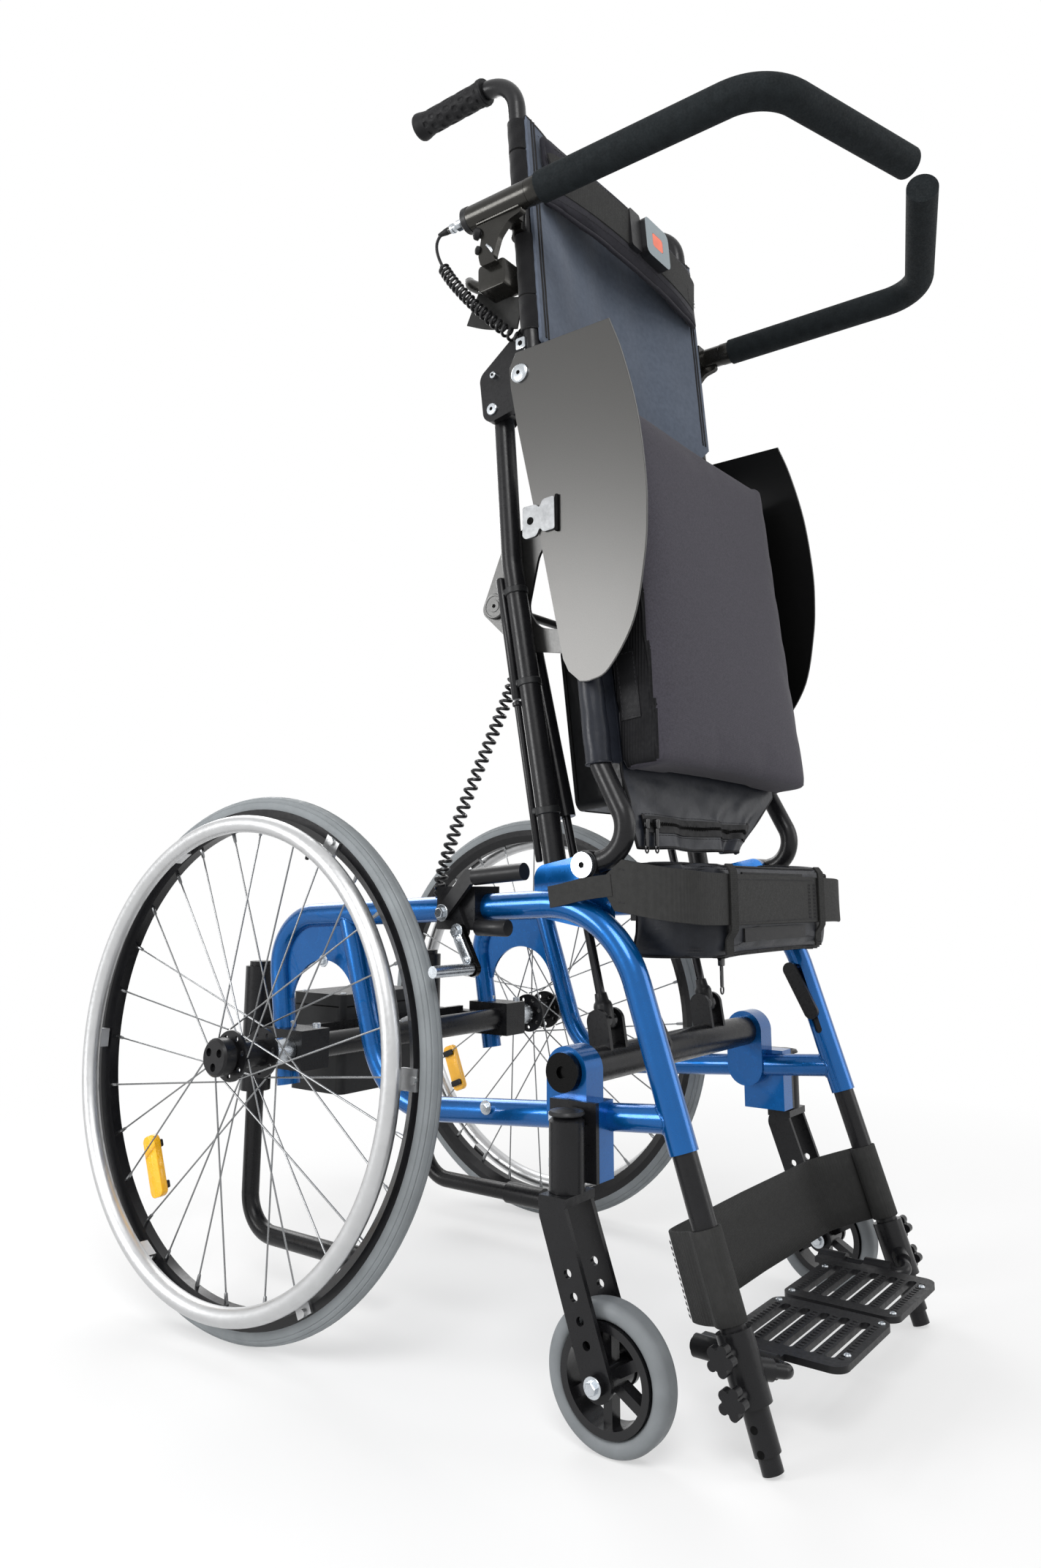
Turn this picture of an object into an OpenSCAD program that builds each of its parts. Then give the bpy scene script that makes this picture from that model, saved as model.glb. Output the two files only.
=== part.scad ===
// Standing wheelchair, shown in its standing pose.
// Millimetres. +Z is up, the user faces -Y, the user's right is at -X, the floor is z = 0.
// Places along Y are counted from the rear axle; the whole chair is then set around its middle.

/* [Overall] */
// Distance of the rear axle behind the middle of the chair
axle_y = 229.5; // [150:0.5:320]
// Loose gap between pieces that only rest against each other
gap = 0.3; // [0.2:0.05:0.6]
// Radial clearance of turning and sliding fits
run = 0.05; // [0.02:0.01:0.1]

/* [Rear wheels] */
// Radius over the tyre
wheel_r = 297; // [270:1:330]
// Tyre thickness
tyre_w = 25; // [20:1:40]
// Distance from a side frame to the centre plane of its wheel
wheel_gap = 84; // [74:1:100]
// Camber of each wheel in degrees
camber = 2; // [0:0.5:4]
// Rim depth from the tyre centre to the rim nose
rim_depth = 22.5; // [18:0.5:28]
// Rim width at its shoulders
rim_w = 24; // [18:1:25]
// Spokes in each wheel
spokes = 28; // [20:4:36]
// Spoke thickness
spoke_d = 2; // [1.5:0.1:3]
// Hub flange radius
flange_r = 28; // [22:1:36]
// Hub barrel radius
barrel_r = 15; // [12:1:20]
// Distance from the wheel plane to each hub flange
flange_x = 22; // [16:1:28]
// Axle pin diameter
axle_d = 12; // [10:0.5:14]
// Handrim centre line radius
handrim_r = 262; // [240:1:275]
// Handrim tube diameter
handrim_d = 20; // [16:1:26]
// Handrim distance outboard of the wheel plane
handrim_x = 33; // [28:1:45]
// Handrim tabs on each wheel
tabs = 6; // [4:1:8]

/* [Side frames] */
// Half distance between the side frame centre planes
frame_x = 197; // [185:1:205]
// Frame tube diameter
tube_d = 28; // [25:0.5:32]
// Lower end of the rear leg behind the axle
rear_foot_y = 22; // [15:1:30]
// Height of the lower end of the rear leg
rear_foot_z = 251; // [235:1:262]
// Rear top corner behind the axle
rear_top_y = 54; // [45:1:62]
// Height of the rear top corner
rear_top_z = 449; // [440:1:460]
// Front top corner ahead of the axle
front_top_y = 451; // [440:1:465]
// Height of the front top corner
front_top_z = 473; // [466:1:480]
// Height of the lower end of the front leg
front_foot_z = 245; // [235:1:252]
// Lean of the front leg from the vertical in degrees
lean = 17.8; // [15:0.1:20]
// Rear bend radius
rear_bend_r = 60; // [45:1:70]
// Front bend radius
front_bend_r = 110; // [90:1:120]
// Lower tube bend radius
lower_bend_r = 88; // [70:1:100]
// Strut joint on the top tube ahead of the axle
strut_y = 73; // [65:1:85]
// Lower corner of the strut ahead of the axle
lower_y = 143; // [135:1:155]
// Height of the lower corner of the strut
lower_z = 243; // [236:1:250]
// Height of the lower tube where it meets the front leg
lower_end_z = 273; // [268:1:280]

/* [Stand mechanism] */
// Seat pivot ahead of the axle
knee_y = 425; // [415:1:435]
// Seat pivot height
knee_z = 508; // [500:1:516]
// Link pivot behind the seat pivot
link_dy = 67; // [60:1:75]
// Link pivot below the seat pivot
link_dz = 13; // [8:1:18]
// Hip pivot behind the seat pivot
hip_dy = 78; // [70:1:88]
// Hip pivot above the seat pivot
hip_dz = 555; // [540:1:575]
// Pivot pin diameter
pin_d = 12; // [10:0.5:14]
// Half distance between the seat tubes
seat_x = 200; // [196:1:202]
// Seat tube diameter
seat_d = 22; // [20:0.5:24]
// Half distance between the link bars
link_x = 164; // [162:1:165]
// Link bar diameter
link_d = 25; // [18:0.5:25]
// Gas spring cylinder diameter
gas_d = 22; // [18:1:26]
// Gas spring rod diameter
gas_rod_d = 10; // [8:0.5:12]
// Gas spring lower pivot ahead of the axle
gas_y = 396; // [390:1:402]
// Gas spring lower pivot height
gas_z = 347; // [343:1:352]
// Gas spring upper pivot ahead of the axle
gas_top_y = 290; // [284:1:298]
// Gas spring upper pivot height
gas_top_z = 805; // [795:1:815]

/* [Seat and back] */
// Seat cushion width
cushion_w = 378; // [340:2:384]
// Seat cushion length
cushion_l = 420; // [380:2:430]
// Seat cushion thickness at the middle
cushion_t = 56; // [40:1:70]
// Cane diameter
cane_d = 22; // [20:0.5:25]
// Height of the push handles
handle_z = 1476; // [1420:1:1500]
// Back upholstery height above the hip pivot
sling_z0 = 44; // [40:1:60]
// Back upholstery length
sling_l = 300; // [260:2:310]
// Arm axis half distance
arm_x = 239; // [236:1:245]
// Arm axis height
arm_z = 1270; // [1240:1:1290]
// Arm foam diameter
foam_d = 36; // [28:1:38]
// Arm corner ahead of the axle
arm_corner_y = 668; // [640:1:680]
// Arm tip ahead of the axle
arm_tip_y = 739; // [730:1:745]
// Side guard sheet thickness
guard_t = 2.5; // [2:0.1:4]

/* [Legs and feet] */
// Leg tube diameter
leg_d = 23.8; // [22:0.1:24]
// Footplate width
plate_w = 132; // [116:1:134]
// Footplate length
plate_l = 122; // [100:1:124]
// Footplate height
plate_z = 66; // [60:1:72]
// Distance of the footplate hinge rods from the middle
plate_x = 152; // [149:1:156]

/* [Casters] */
// Caster wheel radius
caster_r = 62.5; // [55:0.5:66]
// Caster tyre width
caster_w = 26; // [22:1:30]
// Half distance between the caster stems
caster_x = 247; // [245:1:252]
// Caster stem ahead of the axle
caster_y = 427; // [422:1:432]
// Caster trail
trail = 47; // [40:1:54]
// Caster stem diameter
stem_d = 12; // [10:0.5:14]

/* [Hidden] */
$fn = 48;
over = 1;            // overrun of every cut
lap = 1.5;           // overlap of straight and bent tube
draw = 0.1;          // thinning of a tube wall in a bend
// Rear wheel
track = frame_x + wheel_gap;
ring_r = wheel_r - tyre_w / 2;
axle_z = ring_r * cos(camber) + tyre_w / 2;
rim_in = ring_r - rim_depth;
nose_share = 0.5;
shoulder_share = 0.45;
flange_t = 3.2;
barrel_in = 31;
barrel_out = 30;
cap_r = 21;
cap_l = 16;
cap_bevel = 2.5;
cap_holes = 3;
cap_hole_d = 9;
cap_hole_t = 4;
slot_holes = 7;
slot_hole_d = 6;
lace = 62;           // angle between a spoke's two ends
spoke_head = 1.6;
tab_w = 22;
tab_t = 3;
tab_up = 7;
screw_d = 8;
screw_h = 3;
// Side frame
thinner = 2;         // the strut is drawn from a thinner tube
leg_bore = leg_d + 2 * run;
leg_bore_l = 150;
tube_wall = 2;
rear_bore = tube_d - 2 * tube_wall;
rear_bore_l = 70;
gusset_t = 4;
gusset_z = 352;
arch_r = 56;
arch_drop = 8;
lug_y = 402;
lug_z = 307;
lug_r = 24;
lug_t = 30;
lug_bore = 20;
block_t = 11;
block_y0 = 447;
block_y1 = 393;
block_z0 = 212;
block_z1 = 284;
bolt_d = 8;
bolt_y = 402;
bolt_zs = [226, 268];
knee_t = 8;
knee_sink = 3;
knee_x = frame_x - tube_d / 2 - knee_t / 2 + knee_sink;
knee_r = 15;
slot_w = 9;
slot_up = 54;
slot_dn = 22;
slot_mid = 96;       // slot pin above the lower end of the front leg
// Cross tubes
low_d = 35;
cap_d = 38;
cap_t = 8;
socket_d = 26;
socket_w = 24;
hex_d = 12;
gas_x = 112;
gas_shift = -18;
fork_t = 5;
axle_tube_d = 30;
axle_drop = 2;
axle_block_w = 44;
axle_block_h = 46;
axle_block_l = 72;
slit_w = 2.5;
tip_x = 164;
tip_y = 124;
tip_d = 22;
tip_z = 62;
tip_l = 217;
tip_bend_r = 45;
tip_cap_d = 28;
tip_cap_l = 56;
tip_socket_d = 38;
tip_socket_z0 = 230;
tip_socket_z1 = 385;
tip_head = 6;
arm_bar = 22;
rail_t = 8;
rail_h = 34;
rail_y = 52;
box_w = 150;
box_l = 102;
box_h = 128;
box_z = 216;
box_r = 10;
// Brakes
brake_y = 262;
brake_l = 54;
brake_w = 42;
brake_wall = 5;
brake_h = 46;
brake_t = 6;
brake_x = 222;
lever_dy = 10;
lever_dz = 5;
shoe_dy = 12;
shoe_dz = 24;
shoe_y = 295;
shoe_z = 402;
shoe_d = 12;
shoe_l = 64;
lever_t = 6;
lever_w = 16;
elbow_dy = 36;
elbow_dz = 38;
grip_d = 18;
grip_l = 66;
// Casters
housing_d = 34;
housing_z0 = 208;
housing_z1 = 270;
dome_h = 6;
stem_l = 54;
fork_bar = 5;
fork_w = 30;
fork_gap = 19;
crown_t = 8;
caster_lift = 0.4;
caster_axle_d = 10;
nut_d = 19;
nut_t = 7;
fork_hole_d = 8;
fork_hole_shares = [0.36, 0.5, 0.64, 0.78];
caster_rim_r = 46;
caster_ring = 7;
caster_hub_d = 27;
caster_spokes = 6;
caster_spoke_w = 9;
caster_round = 7.9;
// Pads
edge_share = 0.88;
draw_in_share = 0.02;
cushion_grid = 12;
// Seat
loop_dy = 57;
loop_dz = 17;
loop_r = 34;
seat_y0 = 437;
seat_z0 = 612;
seat_y1 = 391;
seat_z1 = 1016;
seat_r0 = 40;
seat_r1 = 34;
eye_r = 15;
eye_lip = 0.5;
cross_shares = [0.34, 0.8];
lever_pt = 4;
lever_x = 147;
lever_round = 13;
lever_hole = 16;
lever_back = [[-280, 884], [-251, 816], [-300, 770]];
lever_holes = [[-267, 842], [-283, 787]];
sheet_t = 3;
apron_l = 88;
apron_w = 364;
apron_near_w = 332;
apron_far_w = 116;
apron_cells = 14;
apron_rows = 4;
apron_back_rows = 3;
fold_h = 8;
fold_n = 1.5;
pbox_w = 160;
pbox_l = 196;
pbox_t = 84;
pbox_x = -30;
pbox_drop = 30;
pbox_r = 12;
// Back
plate_t = 8;
lobe_dy = 5;
lobe_dz = 40;
cane_x = 200;
cane_y0 = 352;
cane_z0 = 1094;
cane_y1 = 322;
handle_y = 165;
handle_r = 52;
pgrip_d = 34;
pgrip_l = 112;
pgrip_rows = 5;
pgrip_hole = 7;
housing_arm_d = 30;
housing_arm_y0 = 282;
housing_arm_y1 = 376;
clamp_d = 34;
clamp_h = 44;
arm_core_d = 22;
arm_bend_r = 62;
arm_tip_x = 27;
arm_tip_dz = 4;
collar_l = 16;
plug_d = 9;
plug_l = 28;
belt_h = 92;
belt_t = 15;
belt_dz = 277;
belt_w = 372;
belt_bow = 10;
belt_sink = 1;
belt_grid = 8;
strap_h = 48;
strap_t = 2.5;
buckle_w = 62;
buckle_h = 56;
buckle_t = 14;
button_w = 26;
button_h = 20;
button_t = 3;
press = 2;
tongue_w = 26;
// Knee pad
pad_w = 340;
pad_x = 5;
pad_h = 100;
pad_t = 48;
pad_z = 405;
pad_y = 497;
pad_grid = 10;
band_h = 62;
hook_gap = 13;
hook_x = pad_x + pad_w / 2 + hook_gap;
hook_y = 516;
hook_z = 452;
hook_d = 6;
hook_dz = 8;
loop_h = 24;
loop_t = 3;
// Legs
tip_round = 19;
tip_ferrule = 14;
leg_in = 103;
collar_z0 = -204;
collar_z1 = -146;
collar_d = 33;
knob_d = 26;
knob_t = 9;
knob_stem = 12;
knob_zs = [-160, -192];
knob_lobes = 5;
rod_d = 12;
rod_y0 = 608;
rod_y1 = 503;
elbow_d = 18;
sleeve_d = 20;
sleeve_ys = [588, 536];
sleeve_l = 30;
hinge_bend_r = 9;
plate_th = 6;
plate_round = 14;
plate_y = 643;
plate_in = 4;
slot_n = 5;
plate_slot_w = 9;
strap_z = -142;
strap_band_h = 78;
strap_back = 60;
strap_in = 36;

// Chair frame
module set_place() translate([0, axle_y, 0]) children();
// Right-hand copy of a piece drawn on the left (+X) side
module right() mirror([1, 0, 0]) children();

function unit(v) = v / norm(v);
function lerp(a, b, t) = a + (b - a) * t;
// Heights and places along the frame tubes
function top_z(y) = lerp(rear_top_z, front_top_z, (rear_top_y - y) / (rear_top_y + front_top_y));
function rear_y(z) = lerp(rear_foot_y, rear_top_y, (z - rear_foot_z) / (rear_top_z - rear_foot_z));
function front_y(z) = -front_top_y - tan(lean) * (front_top_z - z);
function strut_at(z) = lerp(-strut_y, -lower_y, (top_z(-strut_y) - z) / (top_z(-strut_y) - lower_z));
function low_z(y) = lerp(lower_z, lower_end_z, (-lower_y - y) / (-lower_y - front_y(lower_end_z)));
front_foot_y = front_y(front_foot_z);
leg_low = (front_foot_z - tip_round / 2 * sin(lean)) / cos(lean);
// Pivots as [y, z]
A = [-knee_y, knee_z];
B = A + [link_dy, -link_dz];
C = A + [hip_dy, hip_dz];
D = C + [link_dy, -link_dz];
G = [-gas_y, gas_z];
P = [-gas_top_y, gas_top_z];
gas_len = norm(P - G);
gas_tilt = atan2(P[1] - G[1], P[0] - G[0]);
gas_head = 26;
gas_cyl_l = 222;
gas_stub = 14;
gas_eye_d = 20;
gas_eye_w = 16;
// Seat plane
S0 = [-seat_y0, seat_z0];
S1 = [-seat_y1, seat_z1];
seat_tilt = atan2(S1[1] - S0[1], S1[0] - S0[0]);
seat_l = norm(S1 - S0);
// Cane line
K0 = [-cane_y0, cane_z0];
K1 = [-cane_y1, handle_z];
function cane_at(z) = lerp(K0[0], K1[0], (z - K0[1]) / (K1[1] - K0[1]));

// Straight round bar from a to b
module rod(a, b, d) {
  v = b - a;
  translate(a) rotate([0, acos(v[2] / norm(v)), atan2(v[1], v[0])]) cylinder(h = norm(v), d = d);
}
// Length that a bend of radius r takes from each leg at corner p
function turn(p, i) = acos(max(-1, min(1, unit(p[i] - p[i - 1]) * unit(p[i + 1] - p[i]))));
function setback(p, r, i) = (i == 0 || i == len(p) - 1) ? 0 : r[i - 1] * tan(turn(p, i) / 2);
// Round bar along the corners p with one bend radius in r for each inner corner
module bent(p, r, d) {
  for (i = [0 : len(p) - 2]) {
    u = unit(p[i + 1] - p[i]);
    lap0 = i == 0 ? 0 : lap;
    lap1 = i == len(p) - 2 ? 0 : lap;
    rod(p[i] + u * (setback(p, r, i) - lap0), p[i + 1] - u * (setback(p, r, i + 1) - lap1), d);
  }
  for (i = [1 : len(p) - 2]) {
    u = unit(p[i] - p[i - 1]);
    w = unit(p[i + 1] - p[i]);
    n = unit(w - u * (u * w));
    x = -n;
    z = cross(x, u);
    c = p[i] - u * setback(p, r, i) + n * r[i - 1];
    multmatrix([[x[0], u[0], z[0], c[0]], [x[1], u[1], z[1], c[1]], [x[2], u[2], z[2], c[2]], [0, 0, 0, 1]])
      rotate_extrude(angle = turn(p, i)) translate([r[i - 1], 0]) circle(d = d - 2 * draw);
  }
}
// Points of the side plane at one x
function at_x(x, list) = [for (q = list) [x, q[0], q[1]]];
// Flat piece in the side plane, centred on x
module side_plate(x, t) translate([x - t / 2, 0, 0]) rotate([90, 0, 90]) linear_extrude(t) children();
// Bar along X at a side-plane point
module along_x(q, x0, x1, d) rod([x0, q[0], q[1]], [x1, q[0], q[1]], d);
// Straight band of width w from a to b
module band(a, b, w) translate(a) rotate(atan2(b[1] - a[1], b[0] - a[0]))
  translate([0, -w / 2]) square([norm(b - a), w]);
// Flat strip with round ends, drawn in a little between them
module strip(a, b, w) {
  for (q = [a, b]) translate(q) circle(d = w);
  band(a, b, w - 2 * draw);
}
// Polygon with edges pushed out by r and round corners
module round_poly(p, r) {
  polygon(p);
  for (i = [0 : len(p) - 1]) {
    translate(p[i]) circle(r);
    band(p[i], p[(i + 1) % len(p)], 2 * (r - draw));
  }
}
// Rectangle with round corners, centred
module round_rect(w, h, r) {
  square([w - 2 * r, h], center = true);
  square([w, h - 2 * r], center = true);
  for (x = [-1, 1], y = [-1, 1]) translate([x * (w / 2 - r), y * (h / 2 - r)]) circle(r);
}
module round_box(w, l, h, r) linear_extrude(h) round_rect(w, l, r);
// Closed skin between two grids of points, top and bottom
module slab(top, bot) {
  m = len(top);
  n = len(top[0]);
  flat = [for (row = top) each row, for (row = bot) each row];
  edge = concat([for (j = [0 : n - 2]) j], [for (i = [0 : m - 2]) i * n + n - 1],
    [for (j = [n - 1 : -1 : 1]) (m - 1) * n + j], [for (i = [m - 1 : -1 : 1]) i * n]);
  k = m * n;
  polyhedron(flat, concat(
    [for (i = [0 : m - 2], j = [0 : n - 2]) each [
      [i * n + j, (i + 1) * n + j, (i + 1) * n + j + 1], [i * n + j, (i + 1) * n + j + 1, i * n + j + 1],
      [k + i * n + j, k + (i + 1) * n + j + 1, k + (i + 1) * n + j],
      [k + i * n + j, k + i * n + j + 1, k + (i + 1) * n + j + 1]]],
    [for (e = [0 : len(edge) - 1]) let (a = edge[e], b = edge[(e + 1) % len(edge)]) each [
      [a, b, k + b], [a, k + b, k + a]]]));
}
function spread(n) = [for (i = [0 : n]) -cos(180 * i / n)];
// Pad w by l with a crowned top of height h, sides drawn in, n cells each way
module pad(w, l, h, n) {
  g = spread(n);
  shape = function (u, v)
    [w / 2 * u * (1 - draw_in_share * (1 - v * v)), l / 2 * v * (1 - draw_in_share * (1 - u * u))];
  fall = function (t) 1 - pow(abs(t), 4);
  slab([for (v = g) [for (u = g) concat(shape(u, v), h * lerp(edge_share, 1, fall(u) * fall(v)))]],
       [for (v = g) [for (u = g) concat(shape(u, v), 0)]]);
}

// Rear wheel frame: Z runs outboard along the cambered axle
module wheel_place() set_place() translate([track, 0, axle_z]) rotate([0, 90 - camber, 0]) children();

module tyre() color("#85898c") wheel_place()
  rotate_extrude($fn = 96) translate([ring_r, 0]) circle(d = tyre_w);

module rim() color("#17181a") wheel_place() rotate_extrude($fn = 96) difference() {
  polygon([[rim_in, -rim_w * nose_share / 2], [rim_in, rim_w * nose_share / 2],
    [rim_in + rim_depth * shoulder_share, rim_w / 2], [ring_r, rim_w / 2],
    [ring_r, -rim_w / 2], [rim_in + rim_depth * shoulder_share, -rim_w / 2]]);
  translate([ring_r, 0]) circle(d = tyre_w + 2 * run);
}

module wheel_spokes() color("#b9bdc1") wheel_place() for (i = [0 : spokes - 1]) {
  side = i % 2 == 0 ? 1 : -1;
  a = 360 / spokes * i;
  f = a + (floor(i / 2) % 2 == 0 ? lace : -lace);
  z = side * (flange_x + (floor(i / 2) % 2 == 0 ? 1 : -1) * flange_t / 4);
  r0 = flange_r + spoke_head;
  r1 = rim_in - spoke_d / 4;
  rod([r0 * cos(f), r0 * sin(f), z], [r1 * cos(a), r1 * sin(a), side * spoke_d], spoke_d);
}

module hub() color("#141416") wheel_place() difference() {
  union() {
    translate([0, 0, -barrel_in]) cylinder(h = barrel_in + barrel_out, r = barrel_r);
    for (s = [-1, 1]) translate([0, 0, s * flange_x - flange_t / 2]) cylinder(h = flange_t, r = flange_r);
    translate([0, 0, barrel_out]) cylinder(h = cap_l - cap_bevel, r = cap_r);
    translate([0, 0, barrel_out + cap_l - cap_bevel])
      cylinder(h = cap_bevel, r1 = cap_r, r2 = cap_r - cap_bevel);
  }
  translate([0, 0, -barrel_in - over]) cylinder(h = barrel_in + barrel_out + over, d = axle_d + 2 * run);
  for (s = [-1, 1], i = [0 : slot_holes - 1]) rotate(360 / slot_holes * i)
    translate([(barrel_r + flange_r) / 2, 0, s * flange_x - flange_t])
      cylinder(h = 2 * flange_t, d = slot_hole_d);
  for (i = [0 : cap_holes - 1]) rotate(360 / cap_holes * i)
    translate([cap_r / 2, 0, barrel_out + cap_l - cap_hole_t])
      cylinder(h = cap_hole_t + over, d = cap_hole_d);
}

module handrim() color("#c6c8c9") wheel_place() {
  rotate_extrude($fn = 96) translate([handrim_r, handrim_x]) circle(d = handrim_d);
  for (i = [0 : tabs - 1]) rotate(360 / tabs * (i + nose_share)) {
    translate([handrim_r, -tab_w / 2, rim_w / 2 + run])
      cube([rim_in + rim_depth * shoulder_share + tab_up - handrim_r, tab_w, tab_t]);
    translate([handrim_r - tab_t, -tab_w / 2, rim_w / 2 + run]) cube([tab_t, tab_w, handrim_x - rim_w / 2]);
    translate([rim_in + rim_depth * shoulder_share + tab_up / 2, 0, rim_w / 2 + run])
      cylinder(h = tab_t + screw_h, d = screw_d);
  }
}

// Frame of a front leg: Z runs up along the leg from the lower end of the frame tube
module leg_place() set_place() translate([frame_x, front_foot_y, front_foot_z])
  rotate([-lean, 0, 0]) children();

module side_frame() color("#0a4fae") difference() {
  union() {
    set_place() {
      bent(at_x(frame_x, [[rear_foot_y, rear_foot_z], [rear_top_y, rear_top_z],
        [-front_top_y, front_top_z], [front_foot_y, front_foot_z]]), [rear_bend_r, front_bend_r], tube_d);
      bent(at_x(frame_x, [[-strut_y, top_z(-strut_y)], [-lower_y, lower_z],
        [front_y(lower_end_z), lower_end_z]]), [lower_bend_r], tube_d - thinner);
      side_plate(frame_x, gusset_t) difference() {
        polygon([[rear_y(gusset_z), gusset_z], [rear_top_y - rear_bend_r / 2, top_z(rear_top_y)],
          [-strut_y, top_z(-strut_y)], [strut_at(gusset_z), gusset_z]]);
        translate([(rear_y(gusset_z) + strut_at(gusset_z)) / 2, gusset_z - arch_drop]) circle(arch_r);
      }
      side_plate(frame_x, lug_t) strip([-lug_y, lug_z], [-lug_y, low_z(-lug_y)], 2 * lug_r);
      translate([frame_x, -block_y0, block_z0])
        cube([tube_d / 2 + block_t, block_y0 - block_y1, block_z1 - block_z0]);
      side_plate(knee_x, knee_t)
        round_poly([A, B, [B[0], top_z(B[0])], [A[0], top_z(A[0]) - knee_r]], knee_r);
      along_x(A, knee_x, seat_x + seat_d / 2, pin_d);
      along_x(B, link_x - link_d / 2, knee_x, pin_d);
    }
  }
  leg_place() translate([0, 0, -over]) cylinder(h = leg_bore_l + over, d = leg_bore);
  leg_place() translate([-tube_d, 0, slot_mid - slot_dn]) rotate([90, 0, 90]) linear_extrude(tube_d)
    strip([0, 0], [0, slot_up + slot_dn], slot_w);
  set_place() rod([frame_x, rear_y(rear_foot_z - over), rear_foot_z - over],
    [frame_x, rear_y(rear_foot_z + rear_bore_l), rear_foot_z + rear_bore_l], rear_bore);
  set_place() along_x([-lug_y, lug_z], frame_x - lug_t, frame_x + lug_t, lug_bore);
  set_place() for (z = bolt_zs)
    along_x([-bolt_y, z], frame_x + tube_d / 2, frame_x + tube_d / 2 + block_t + over, bolt_d + 2 * run);
}

module lower_cross_tube() color("#17181a") set_place() {
  e = frame_x - lug_t / 2 - gap;
  q = [-lug_y, lug_z];
  along_x(q, -e, e, low_d);
  along_x(q, -frame_x - lug_t / 2, frame_x + lug_t / 2, lug_bore - 2 * run);
  for (s = [-1, 1]) {
    for (k = [-1, 1]) side_plate(s * gas_x + gas_shift + k * (socket_w + fork_t) / 2, fork_t)
      strip(q, G, socket_d);
    along_x(G, s * gas_x + gas_shift - socket_w / 2, s * gas_x + gas_shift + socket_w / 2, gas_rod_d);
  }
}

module frame_bolts() color("#b4b8bb") set_place() for (s = [-1, 1]) {
  difference() {
    along_x([-lug_y, lug_z], s * (frame_x + lug_t / 2 + gap), s * (frame_x + lug_t / 2 + gap + cap_t), cap_d);
    rod([s * (frame_x + lug_t / 2 + gap + cap_t / 2), -lug_y, lug_z],
      [s * (frame_x + lug_t / 2 + gap + cap_t + over), -lug_y, lug_z], hex_d);
  }
  x0 = frame_x + tube_d / 2 + block_t + fork_bar + 2 * gap;
  for (z = bolt_zs) {
    translate([s * x0, -bolt_y, z]) rotate([0, s * 90, 0]) cylinder(h = fork_bar, d = 2 * bolt_d, $fn = 6);
    along_x([-bolt_y, z], s * (frame_x + tube_d / 2 + over), s * x0, bolt_d);
  }
  x1 = seat_x + seat_d / 2 + eye_lip + gap;
  along_x(A, s * x1, s * (x1 + fork_bar), cap_d - hex_d);
}

module axle_tube() color("#17181a") difference() {
  z0 = axle_z - axle_drop;
  set_place() union() {
    along_x([0, z0], -frame_x, frame_x, axle_tube_d);
    for (s = [-1, 1]) {
      translate([s * frame_x - axle_block_w / 2, -axle_block_h / 2, z0 - axle_block_h / 2])
        cube([axle_block_w, axle_block_l, axle_block_h]);
      translate([s * tip_x - arm_bar / 2, 0, z0 - arm_bar / 2]) cube([arm_bar, tip_y, arm_bar]);
      rod([s * tip_x, tip_y, tip_socket_z0], [s * tip_x, tip_y, tip_socket_z1], tip_socket_d);
    }
    translate([-tip_x, rail_y, z0 - rail_h / 2]) cube([2 * tip_x, rail_t, rail_h]);
  }
  set_place() for (s = [-1, 1]) {
    rod([s * frame_x, rear_y(rear_foot_z - over), rear_foot_z - over],
      [s * frame_x, rear_y(rear_top_z), rear_top_z], tube_d + 2 * run);
    translate([s * frame_x - axle_block_w, rear_y(z0), z0 - slit_w / 2])
      cube([2 * axle_block_w, axle_block_l, slit_w]);
    rod([s * tip_x, tip_y, tip_socket_z0 - over], [s * tip_x, tip_y, tip_socket_z1 + over], tip_d + 2 * run);
  }
  for (k = [0, 1]) mirror([k, 0, 0]) wheel_place()
    translate([0, 0, -track]) cylinder(h = track, d = axle_d + 2 * run);
}

module axle_pin() color("#b4b8bb") wheel_place() {
  translate([0, 0, -(track - frame_x + axle_block_w / 4)])
    cylinder(h = track - frame_x + axle_block_w / 4 + barrel_out - gap, d = axle_d);
  translate([0, 0, -(track - frame_x - axle_block_w / 2 - 2 * gap)])
    cylinder(h = track - frame_x - axle_block_w / 2 - 3 * gap - barrel_in, r = barrel_r);
}
module axle_pins() { axle_pin(); right() axle_pin(); }

module antitip() color("#1b1c1e") set_place() {
  top = tip_socket_z1 + tip_head;
  bent([[tip_x, tip_y, top], [tip_x, tip_y, tip_z], [tip_x, tip_y - tip_l, tip_z]], [tip_bend_r], tip_d);
  rod([tip_x, tip_y - tip_l - tip_head, tip_z], [tip_x, tip_y - tip_l + tip_cap_l, tip_z], tip_cap_d);
  rod([tip_x, tip_y, tip_socket_z1 + gap], [tip_x, tip_y, top], tip_cap_d);
}

module control_box() color("#1c1d1f") set_place() translate([0, rail_y + rail_t + gap + box_l / 2, box_z])
  difference() {
    round_box(box_w, box_l, box_h, box_r);
    for (i = [-2 : 2]) translate([i * box_w / 7 - box_r / 4, box_l / 2 - box_r / 4, box_h / 4])
      cube([box_r / 2, box_r, box_h / 2]);
  }

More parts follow.
